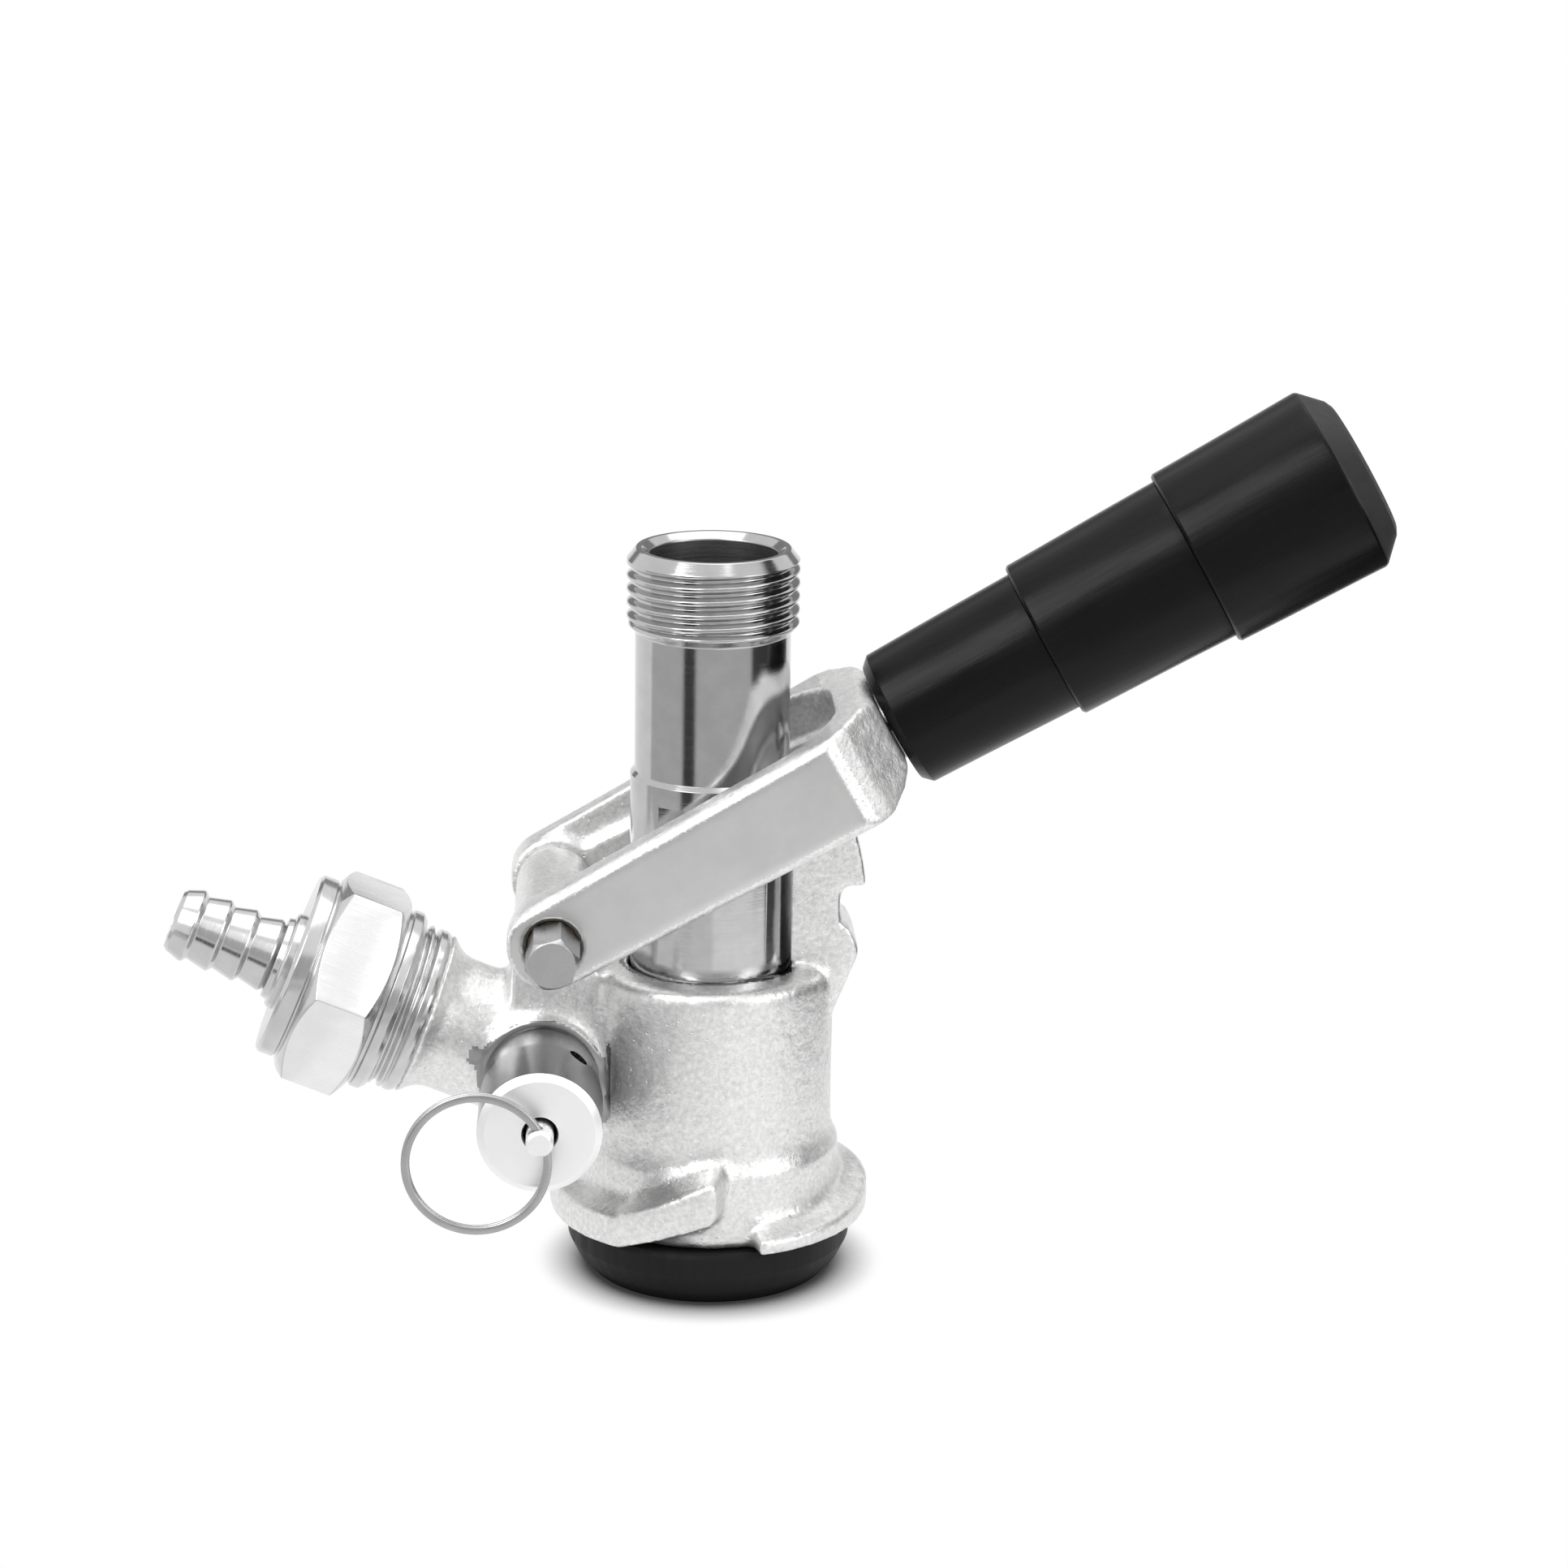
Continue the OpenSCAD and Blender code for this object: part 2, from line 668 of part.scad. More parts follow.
module body() {
    color(cast_steel)
    difference() {
        union() {
            body_barrel();
            lugs();
            hinge_tower();
            guide_post();
            inlet_neck();
            relief_boss();
        }
        // bore, gas chamber and seal recess
        rod(2 * bore_r, casting_z, rim_z + over);
        rod(chamber_d, casting_z - over, chamber_z);
        rod(seal_recess_d, casting_z - over, casting_z + seal_neck_h);
        translate([0, 0, rim_z - mouth_chamfer])
            cylinder(r1 = bore_r, r2 = bore_r + mouth_chamfer, h = mouth_chamfer);
        // gas way and the check valve's seat
        inlet_frame() {
            rod(gas_way_d, gas_way_start, gas_thread_end + over);
            rod(gas_bore_d, gas_thread_end - gas_bore_l, gas_thread_end + over);
        }
        // relief valve's thread and port
        relief_frame() {
            rod(relief_spigot_d + 2 * seat, relief_seat - relief_spigot_l, relief_seat + over);
            rod(relief_port_d, 0, relief_seat);
        }
        // pivot bolts
        for (side = [-1, 1])
            translate([-pivot_x, side * (barrel_w / 2 - bolt_reach / 2), pivot_z]) rotate([90, 0, 0])
                cylinder(d = bolt_d + 2 * seat, h = bolt_reach + 2 * seat, center = true);
    }
}

module bottom_seal() {
    color(black_rubber)
    rotate_extrude($fn = fine)
        polygon([[seal_hole_d / 2, 0], [seal_foot_d / 2, 0],
                 [seal_d / 2 - seal_edge_round, seal_chamfer_h - seal_edge_round],
                 [seal_d / 2, seal_chamfer_h + seal_edge_round / 2],
                 [seal_d / 2, casting_z - seal_lip_h],
                 [seal_d / 2 - seal_lip_h / 2, casting_z],
                 [seal_recess_d / 2 - seat, casting_z],
                 [seal_recess_d / 2 - seat, casting_z + seal_neck_h],
                 [seal_hole_d / 2, casting_z + seal_neck_h]]);
}

module probe() {
    color(bright_steel)
    difference() {
        rotate_extrude($fn = fine)
            polygon([[0, nose_z], [nose_d / 2 - rim_chamfer, nose_z], [nose_d / 2, nose_z + rim_chamfer],
                     [nose_d / 2, waist_z - (probe_d - nose_d) / 2], [probe_d / 2, waist_z],
                     [probe_d / 2, step_z - step_chamfer], [probe_d / 2 - step_chamfer, step_z],
                     [tube_d / 2, step_z], [tube_d / 2, thread_z - thread_relief_h],
                     [beer_thread_d / 2, thread_z],
                     [beer_thread_d / 2, probe_top - thread_chamfer],
                     [beer_thread_d / 2 - thread_chamfer, probe_top], [0, probe_top]]);
        // beer way, from the wide bore at the top to the ball's chamber
        rod(beer_bore_d, probe_top - beer_bore_h, probe_top + over);
        translate([0, 0, probe_top - rim_chamfer])
            cylinder(d1 = beer_bore_d, d2 = beer_bore_d + 2 * rim_chamfer, h = rim_chamfer);
        rod(beer_way_d * ball_seat_share, nose_z, probe_top - beer_bore_h + over);
        rod(ball_d + 2 * gap, nose_z - over, ball_seat_z);
        // two flats for the lever's lugs
        for (side = [0, 180])
            rotate([0, 0, side])
                translate([-flat_half, -probe_d, flat_z - flat_h / 2])
                    cube([2 * flat_half, probe_d - flats_w / 2, flat_h]);
        // O-ring grooves and the tip seal's groove
        for (i = [0, 1])
            tube(probe_d + over, probe_d - 2 * oring_t - 2 * seat,
                 rim_z - oring_drop - i * oring_pitch - oring_t / 2 - seat,
                 rim_z - oring_drop - i * oring_pitch + oring_t / 2 + seat);
        tube(nose_d + over, nose_d - tip_seal_t, nose_z + tip_groove_drop,
             nose_z + tip_groove_drop + tip_seal_h);
    }
}

module probe_orings() {
    color(black_rubber)
    for (i = [0, 1])
        translate([0, 0, rim_z - oring_drop - i * oring_pitch])
            rotate_extrude($fn = fine)
                translate([bore_r - running / 2 - oring_t / 2, 0]) circle(d = oring_t - 2 * seat, $fn = 24);
}

module probe_tip_seal() {
    color(black_rubber)
    rotate_extrude($fn = fine)
        polygon([[nose_d / 2 - tip_seal_t / 2 + seat, nose_z + tip_groove_drop + seat],
                 [nose_d / 2 + tip_seal_t / 4, nose_z + tip_groove_drop + seat],
                 [nose_d / 2 + tip_seal_t / 2, nose_z + tip_groove_drop + tip_seal_h / 2],
                 [nose_d / 2 + tip_seal_t / 4, nose_z + tip_groove_drop + tip_seal_h - seat],
                 [nose_d / 2 - tip_seal_t / 2 + seat, nose_z + tip_groove_drop + tip_seal_h - seat]]);
}

module check_ball() {
    color(clear_plastic)
    translate([0, 0, nose_z + retainer_t + gap / 2 + ball_d / 2]) sphere(d = ball_d);
}

module ball_retainer() {
    color(bright_steel)
    difference() {
        rod(ball_d + 2 * gap - 2 * seat, nose_z, nose_z + retainer_t);
        for (i = [0:retainer_slots - 1])
            rotate([0, 0, 360 * i / retainer_slots])
                translate([ball_d / 4, 0, nose_z - over])
                    cylinder(d = ball_d / 4, h = retainer_t + 2 * over);
    }
}

// Side outline of the lever, as a plate of full width
module lever_side() {
    rise = (yoke_h - arm_h) / 2;
    rotate([90, 0, 0])
        linear_extrude(fork_w, center = true)
            polygon(concat(
                arc_points([0, 0], arm_h / 2, 90, 270, 24),
                [[yoke_l - yoke_round * yoke_under_share, -arm_h / 2 - rise],
                 [yoke_l - yoke_round * yoke_corner_share,
                  -arm_h / 2 - rise + yoke_round * yoke_lift_share],
                 [yoke_l, -arm_h / 2 - rise + yoke_round],
                 [yoke_l, arm_h / 2 + rise - yoke_round * yoke_top_share],
                 [yoke_l - yoke_round * yoke_top_share, arm_h / 2 + rise]]));
}

// Plan outline of the lever
module lever_plan() {
    step = (fork_w - yoke_end_w) / 2 * edge_step_share;
    linear_extrude(2 * yoke_h, center = true)
        polygon([for (s = [1, -1]) each s > 0
            ? [[-arm_h, fork_w / 2], [arm_l - step / 2, fork_w / 2], [arm_l + step, fork_w / 2 - step],
               [yoke_l, yoke_end_w / 2]]
            : [[yoke_l, -yoke_end_w / 2], [arm_l + step, step - fork_w / 2],
               [arm_l - step / 2, -fork_w / 2], [-arm_h, -fork_w / 2]]]);
}

// A slot from the open end of the fork to a round-cornered inner end
module fork_slot(width, corner, end, height) {
    translate([-arm_h, -width / 2, 0]) cube([arm_h + end - corner, width, height]);
    translate([0, corner - width / 2, 0]) cube([end, width - 2 * corner, height]);
    for (side = [-1, 1])
        translate([end - corner, side * (width / 2 - corner), 0])
            cylinder(r = corner, h = height, $fn = fine);
}

module lever() {
    rise_angle = atan((yoke_h - arm_h) / 2 / yoke_l);
    color(cast_steel)
    lever_frame()
        difference() {
            union() {
                difference() {
                    intersection() {
                        lever_side();
                        lever_plan();
                    }
                    translate([0, 0, -yoke_h])
                        fork_slot(low_gap_w, low_gap_r, opening_end - gap_r * low_end_share, 2 * yoke_h);
                    translate([0, 0, ledge_v]) rotate([0, ledge_slope, 0])
                        fork_slot(gap_w, gap_r, opening_end, yoke_h);
                    // chamfers along the outer edges of the arms
                    for (side = [-1, 1], top = [-1, 1])
                        rotate([0, -top * rise_angle, 0])
                            translate([0, side * fork_w / 2, top * arm_h / 2])
                                rotate([45, 0, 0])
                                    cube([4 * yoke_l, arm_chamfer * sqrt(2), arm_chamfer * sqrt(2)],
                                         center = true);
                }
                // hubs and driving lugs on the arms' inner faces
                for (side = [-1, 1]) {
                    across(side, barrel_w / 2 + gap, gap_w / 2 + over, hub_d);
                    translate([drive_r, 0, 0]) across(side, lug_face, low_gap_w / 2 + over, drive_d);
                }
            }
            for (side = [-1, 1]) {
                across(side, low_gap_w / 4, fork_w, bushing_d + 2 * seat);
                across(side, fork_w / 2 - spotface_h, fork_w, spotface_d);
            }
            // way for the plunger and socket for the stem
            rotate([0, 90, 0]) {
                rod(plunger_d + 2 * running, opening_end - gap_r, yoke_l + over);
                rod(stem_d + 2 * seat, stem_start, yoke_l + over);
            }
        }
}

// A cylinder across one arm of the fork, from y0 out to y1
module across(side, y0, y1, d) {
    translate([0, side * y0, 0]) rotate([-side * 90, 0, 0]) cylinder(d = d, h = y1 - y0);
}

// A ring across one arm of the fork, from y0 out to y1
module across_ring(side, y0, y1, d, hole) {
    translate([0, side * y0, 0]) rotate([-side * 90, 0, 0]) tube(d, hole, 0, y1 - y0);
}

module pivot_bolts() {
    head_y = fork_w / 2 - spotface_h + gap;
    color(bright_steel)
    translate([-pivot_x, 0, pivot_z])
        for (side = [-1, 1]) {
            across(side, barrel_w / 2 - bolt_reach, head_y + seat, bolt_d);
            translate([0, side * head_y, 0]) rotate([-side * 90, 0, 0])
                intersection() {
                    rotate([0, 0, bolt_turn]) cylinder(d = bolt_head_w / cos(30), h = bolt_head_h, $fn = 6);
                    cylinder(d1 = bolt_cone_share * bolt_head_w, d2 = bolt_top_share * bolt_head_w,
                             h = bolt_head_h);
                }
        }
}

module pivot_bushings() {
    color(brass)
    lever_frame()
        for (side = [-1, 1])
            across_ring(side, barrel_w / 2 + gap, fork_w / 2 - spotface_h, bushing_d,
                        bolt_d + 2 * running);
}

module handle_stem() {
    color(bright_steel)
    handle_frame()
        difference() {
            union() {
                rod(stem_d, stem_start, stem_end - stem_thread_l);
                rod(stem_thread_d, stem_start, stem_end);
            }
            rod(stem_bore_d, stem_start - over, stem_bore_end);
            rod(rod_hole_d, stem_start, stem_end + over);
        }
}

module stem_nut() {
    color(bright_steel)
    handle_frame()
        difference() {
            translate([0, 0, stem_end - stem_thread_l])
                cylinder(d = stem_nut_d, h = stem_nut_l, $fn = 6);
            rod(stem_thread_d + 2 * seat, stem_start, stem_end + over);
        }
}

module lock_plunger() {
    color(bright_steel)
    handle_frame()
        difference() {
            union() {
                rotate_extrude($fn = fine)
                    polygon([[0, plunger_tip], [plunger_d / 2 - plunger_bevel, plunger_tip],
                             [plunger_d / 2, plunger_tip + plunger_bevel],
                             [plunger_d / 2, collar_u], [stem_bore_d / 2 - running, collar_u],
                             [stem_bore_d / 2 - running, collar_u + collar_l],
                             [sleeve_d / 2, collar_u + collar_l], [sleeve_d / 2, sleeve_end],
                             [0, sleeve_end]]);
            }
            rod(sleeve_bore_d, collar_u + collar_l, sleeve_end - sleeve_lip_l);
            rod(rod_hole_d, collar_u + collar_l, sleeve_end + over);
        }
}

module plunger_spring() {
    color(spring_steel)
    handle_frame()
        coil_spring(plunger_spring_d, plunger_wire_d, plunger_turns, collar_u + collar_l,
                    stem_bore_end - gap);
}

// Outline of one step of the grip, from u0 to u1
function grip_step(u0, u1, d) = [[d / 2, u0], [(d + grip_taper) / 2, u1]];

module grip() {
    u1 = handle_base + grip_l1;
    u2 = u1 + grip_l2;
    u3 = u2 + grip_l3;
    color(black_rubber)
    handle_frame()
        rotate_extrude($fn = fine)
            polygon(concat(
                [[stem_d / 2 + grip_play, handle_base], [grip_d1 / 2 - grip_bevel, handle_base]],
                grip_step(handle_base + grip_bevel, u1 - grip_edge, grip_d1),
                grip_step(u1, u2 - grip_edge, grip_d2), grip_step(u2, u3, grip_d3),
                [[grip_face_d / 2, u3 + grip_end_l], [grip_cavity_d / 2, u3 + grip_end_l],
                 [grip_cavity_d / 2, handle_base + grip_shoulder],
                 [stem_d / 2 + grip_play, handle_base + grip_shoulder]]));
}

module grip_plug() {
    color(black_plastic)
    handle_frame()
        difference() {
            rod(grip_cavity_d - 2 * seat, plug_end - plug_l, plug_end);
            rod(rod_d + 2 * seat, plug_end - plug_l - over, plug_end - plug_l + rod_bite);
            tube(grip_cavity_d / 2 + plug_rib, grip_cavity_d / 2, plug_end - plug_rib, plug_end + over);
        }
}

module pull_rod() {
    color(bright_steel)
    handle_frame() {
        rod(rod_head_d, rod_head_u, rod_head_u + rod_head_l);
        rod(rod_d, rod_head_u, plug_end - plug_l + rod_bite - seat);
    }
}

module grip_spring() {
    color(spring_steel)
    handle_frame()
        coil_spring(grip_spring_d, grip_wire_d, grip_turns, handle_base + grip_shoulder,
                    stem_end - stem_thread_l - grip_travel - gap);
}

module gas_nut() {
    hex_start = nut_start + nut_collar_l;
    face_r = nut_w * nut_chamfer_share / 2;
    color(bright_steel)
    inlet_frame()
        difference() {
            union() {
                rotate_extrude($fn = fine)
                    polygon([[0, nut_start], [nut_round_d / 2 - nut_round_edge, nut_start],
                             [nut_round_d / 2, nut_start + nut_round_edge],
                             [nut_round_d / 2, nut_end - nut_round_edge],
                             [nut_round_d / 2 - nut_round_edge, nut_end], [0, nut_end]]);
                intersection() {
                    rotate([0, 0, nut_roll])
                        translate([0, 0, hex_start])
                            cylinder(d = nut_w / cos(30), h = nut_hex_l, $fn = 6);
                    translate([0, 0, hex_start])
                        rotate_extrude($fn = fine)
                            polygon([[0, 0], [face_r, 0], [face_r + nut_chamfer_w, nut_chamfer_l],
                                     [face_r + nut_chamfer_w, nut_hex_l - nut_chamfer_l],
                                     [face_r, nut_hex_l], [0, nut_hex_l]]);
                }
            }
            rod(gas_thread_d + 2 * seat, nut_start - over, tail_flange_w + tail_flange_l);
            rod(tail_hub_d + 2 * seat, nut_start, nut_end + over);
        }
}

// Outline of the barbs from the tip back to the hub
function barb_points() = [for (i = [0:barb_count - 1]) let (w = barb_first - i * barb_pitch)
    each [[barb_d / 2, w], [barb_root_d / 2, w - barb_shoulder]]];

module tailpiece() {
    color(bright_steel)
    inlet_frame()
        rotate_extrude($fn = fine)
            polygon(concat(
                [[tail_way_d / 2, barb_tip], [barb_tip_d / 2 - barb_round, barb_tip],
                 [barb_tip_d / 2, barb_tip - barb_round]],
                barb_points(),
                [[barb_root_d / 2, nut_end + tail_ring_l],
                 [tail_hub_d / 2 - barb_round, nut_end + tail_ring_l],
                 [tail_hub_d / 2, nut_end], [tail_hub_d / 2, tail_flange_w + tail_flange_l],
                 [tail_flange_d / 2, tail_flange_w + tail_flange_l], [tail_flange_d / 2, tail_flange_w],
                 [tail_way_d / 2, tail_flange_w]]));
}

module tail_washer() {
    color(black_rubber)
    inlet_frame() tube(tail_flange_d, duck_bore_d, gas_thread_end, tail_flange_w);
}

module gas_check() {
    flange_w = gas_thread_end - duck_flange_l;
    color(black_rubber)
    inlet_frame()
        difference() {
            union() {
                rod(duck_flange_d, flange_w, gas_thread_end);
                rod(duck_tube_d, flange_w - duck_l / 2, gas_thread_end);
                intersection() {
                    rod(duck_tube_d, flange_w - duck_l, gas_thread_end);
                    rotate([90, 0, 0])
                        linear_extrude(duck_tube_d, center = true)
                            polygon([[-duck_wall, flange_w - duck_l], [duck_wall, flange_w - duck_l],
                                     [duck_tube_d / 2, flange_w - duck_l / 2],
                                     [-duck_tube_d / 2, flange_w - duck_l / 2]]);
                }
            }
            rod(duck_bore_d, flange_w - duck_l / 2, gas_thread_end + over);
            translate([-duck_slit / 2, -duck_bore_d / 2, flange_w - duck_l - over])
                cube([duck_slit, duck_bore_d, duck_l]);
        }
}

module relief_housing() {
    cavity_d = relief_d - 2 * relief_wall;
    color(bright_steel)
    relief_frame()
        difference() {
            rotate_extrude($fn = fine)
                polygon([[0, relief_seat - relief_spigot_l],
                         [relief_spigot_d / 2, relief_seat - relief_spigot_l],
                         [relief_spigot_d / 2, relief_seat], [relief_root_d / 2, relief_seat],
                         [relief_d / 2, relief_seat + relief_grow_l],
                         [relief_d / 2, relief_end - relief_chamfer],
                         [relief_d / 2 - relief_chamfer, relief_end], [0, relief_end]]);
            rod(relief_port_d, relief_seat - relief_spigot_l - over, relief_end);
            rod(cavity_d, relief_seat + relief_floor, relief_end + over);
            rotate([0, 0, vent_bearing]) translate([0, 0, vent_y]) rotate([0, 90, 0])
                cylinder(d = vent_d, h = relief_d);
        }
}

module relief_cap() {
    color(bright_steel)
    relief_frame()
        tube(relief_d - 2 * relief_wall - 2 * seat, relief_hole_d, relief_end - relief_cap_t, relief_end);
}

module relief_stem() {
    color(bright_steel)
    relief_frame()
        difference() {
            union() {
                rod(relief_poppet_d, relief_poppet_z, relief_poppet_z + relief_poppet_t);
                rotate_extrude($fn = fine)
                    polygon([[0, relief_poppet_z], [relief_stem_d / 2, relief_poppet_z],
                             [relief_stem_d / 2, relief_end + relief_out - relief_chamfer / 2],
                             [relief_stem_d / 2 - relief_chamfer / 2, relief_end + relief_out],
                             [0, relief_end + relief_out]]);
            }
            ring_frame() cylinder(d = ring_hole_d, h = 2 * relief_stem_d, center = true);
        }
}

// Places its children on the cross hole, with Z along the hole and X towards the ring's centre
module ring_frame() {
    translate([0, 0, ring_y]) rotate([0, 0, 180 - ring_bearing]) rotate([90, 0, 0]) children();
}

module relief_seal() {
    color(black_rubber)
    relief_frame() rod(relief_seal_d, relief_seal_z, relief_seal_z + relief_seal_t);
}

module relief_spring() {
    color(spring_steel)
    relief_frame()
        coil_spring(relief_spring_d, relief_wire_d, relief_turns, relief_poppet_z + relief_poppet_t,
                    relief_end - relief_cap_t - relief_travel - gap);
}

module relief_ring() {
    color(bright_steel)
    relief_frame() ring_frame()
        translate([ring_r - ring_hole_d / 2 + ring_t / 2, 0, 0]) rotate([90, 0, 0])
            rotate_extrude($fn = fine) translate([ring_r, 0]) circle(d = ring_t, $fn = 16);
}

body();
bottom_seal();
probe();
probe_orings();
probe_tip_seal();
check_ball();
ball_retainer();
lever();
pivot_bolts();
pivot_bushings();
handle_stem();
stem_nut();
lock_plunger();
plunger_spring();
grip();
grip_plug();
pull_rod();
grip_spring();
gas_nut();
tailpiece();
tail_washer();
gas_check();
relief_housing();
relief_cap();
relief_stem();
relief_seal();
relief_spring();
relief_ring();
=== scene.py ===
"""The looks of a lever-handle keg coupler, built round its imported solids, in metres and in their frame.

+Z runs up the probe, +X towards the handle, -X towards the gas inlet and -Y towards the relief valve.
Sizes in the classes are millimetres, and each piece is placed in the row frame as its mesh is made.
"""

import json
import logging
import math
from dataclasses import dataclass
from enum import Enum
from typing import Callable, Sequence

import bmesh
import bpy
import numpy as np
from bpy.types import Material, Mesh, Node, NodeSocket, NodeTree, Object
from mathutils import Matrix, Vector

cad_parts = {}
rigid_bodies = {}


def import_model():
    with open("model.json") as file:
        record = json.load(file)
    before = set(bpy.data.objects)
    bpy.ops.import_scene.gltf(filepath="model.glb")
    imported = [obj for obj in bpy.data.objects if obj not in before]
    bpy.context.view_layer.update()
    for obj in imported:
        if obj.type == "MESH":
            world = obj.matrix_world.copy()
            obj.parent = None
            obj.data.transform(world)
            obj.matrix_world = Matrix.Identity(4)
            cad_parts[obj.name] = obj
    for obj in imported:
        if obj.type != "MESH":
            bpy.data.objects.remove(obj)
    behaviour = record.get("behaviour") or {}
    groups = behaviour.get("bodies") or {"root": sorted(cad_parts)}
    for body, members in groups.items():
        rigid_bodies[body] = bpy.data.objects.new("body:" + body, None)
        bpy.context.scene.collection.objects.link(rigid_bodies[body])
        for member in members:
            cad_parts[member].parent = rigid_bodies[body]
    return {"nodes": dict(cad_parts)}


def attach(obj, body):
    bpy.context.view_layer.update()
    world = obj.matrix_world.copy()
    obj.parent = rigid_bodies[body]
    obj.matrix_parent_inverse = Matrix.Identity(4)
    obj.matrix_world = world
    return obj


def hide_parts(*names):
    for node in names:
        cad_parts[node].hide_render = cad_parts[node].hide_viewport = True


MM = 0.001
TINY = 1e-6
FINE_SIDES = 160
LOG = logging.getLogger("coupler")
Pair = tuple[float, float]
Point = tuple[float, float, float]


class Body(Enum):
    """The CAD bodies that new pieces ride on."""

    BASE = "base"
    PROBE = "probe"
    LEVER = "lever"
    GRIP = "grip"
    RING = "relief_ring"


class Slot(Enum):
    """The record's material slots that new pieces use."""

    CAST = "cast_steel"
    BRIGHT = "bright_steel"
    RUBBER = "black_rubber"


@dataclass(frozen=True)
class Placing:
    """Where a piece's own axes lie in the row frame: its Z axis runs along the piece."""

    origin: Point
    x_axis: Point
    y_axis: Point
    z_axis: Point

    def matrix(self) -> Matrix:
        """Returns the matrix from the piece's millimetres to the row frame's metres."""
        cols = [Vector(a) * MM for a in (self.x_axis, self.y_axis, self.z_axis, self.origin)]
        return Matrix([[c[i] for c in cols] for i in range(3)] + [[0, 0, 0, 1]])

    def own(self, points: np.ndarray) -> np.ndarray:
        """Returns the row frame's millimetre points in the piece's own axes."""
        return (points - np.array(self.origin)) @ np.array([self.x_axis, self.y_axis, self.z_axis]).T


def tilted(origin: Point, angle: float, towards: float) -> Placing:
    """Makes a placing whose Z axis climbs from the horizontal in the XZ plane.

    Args:
        origin: the piece's origin, in millimetres.
        angle: climb above the horizontal, in degrees.
        towards: 1 for +X, -1 for -X.

    Returns:
        The placing.
    """
    c, s = math.cos(math.radians(angle)), math.sin(math.radians(angle))
    z_axis = (towards * c, 0.0, s)
    y_axis = (0.0, 1.0, 0.0)
    return Placing(origin, tuple(Vector(y_axis).cross(Vector(z_axis))), y_axis, z_axis)


UPRIGHT = Placing((0, 0, 0), (1, 0, 0), (0, 1, 0), (0, 0, 1))
HANDLE = tilted((-21.2, 0.0, 51.0), 29.6, 1)
INLET = tilted((0.0, 0.0, 20.1), 22.0, -1)
RELIEF = Placing((-22.8, 0.0, 29.312), (1, 0, 0), (0, 0, 1), (0, -1, 0))


class Graph:
    """A node tree under construction."""

    def __init__(self, tree: NodeTree) -> None:
        """Empties the tree and keeps its nodes and links at hand."""
        self.nodes, self.links = tree.nodes, tree.links
        self.nodes.clear()

    def add(self, kind: str, **values: object) -> Node:
        """Adds a node.

        Args:
            kind: the node's type name.
            values: its attributes, and its inputs by their capitalised names, with _ for a space.

        Returns:
            The node.
        """
        node = self.nodes.new(kind)
        for key, value in values.items():
            if key[0].isupper():
                node.inputs[key.replace("_", " ")].default_value = value
            else:
                setattr(node, key, value)
        return node

    def link(self, a: Node, out: object, b: Node, inp: object) -> None:
        """Links an output of one node to an input of another."""
        self.links.new(a.outputs[out], b.inputs[inp])


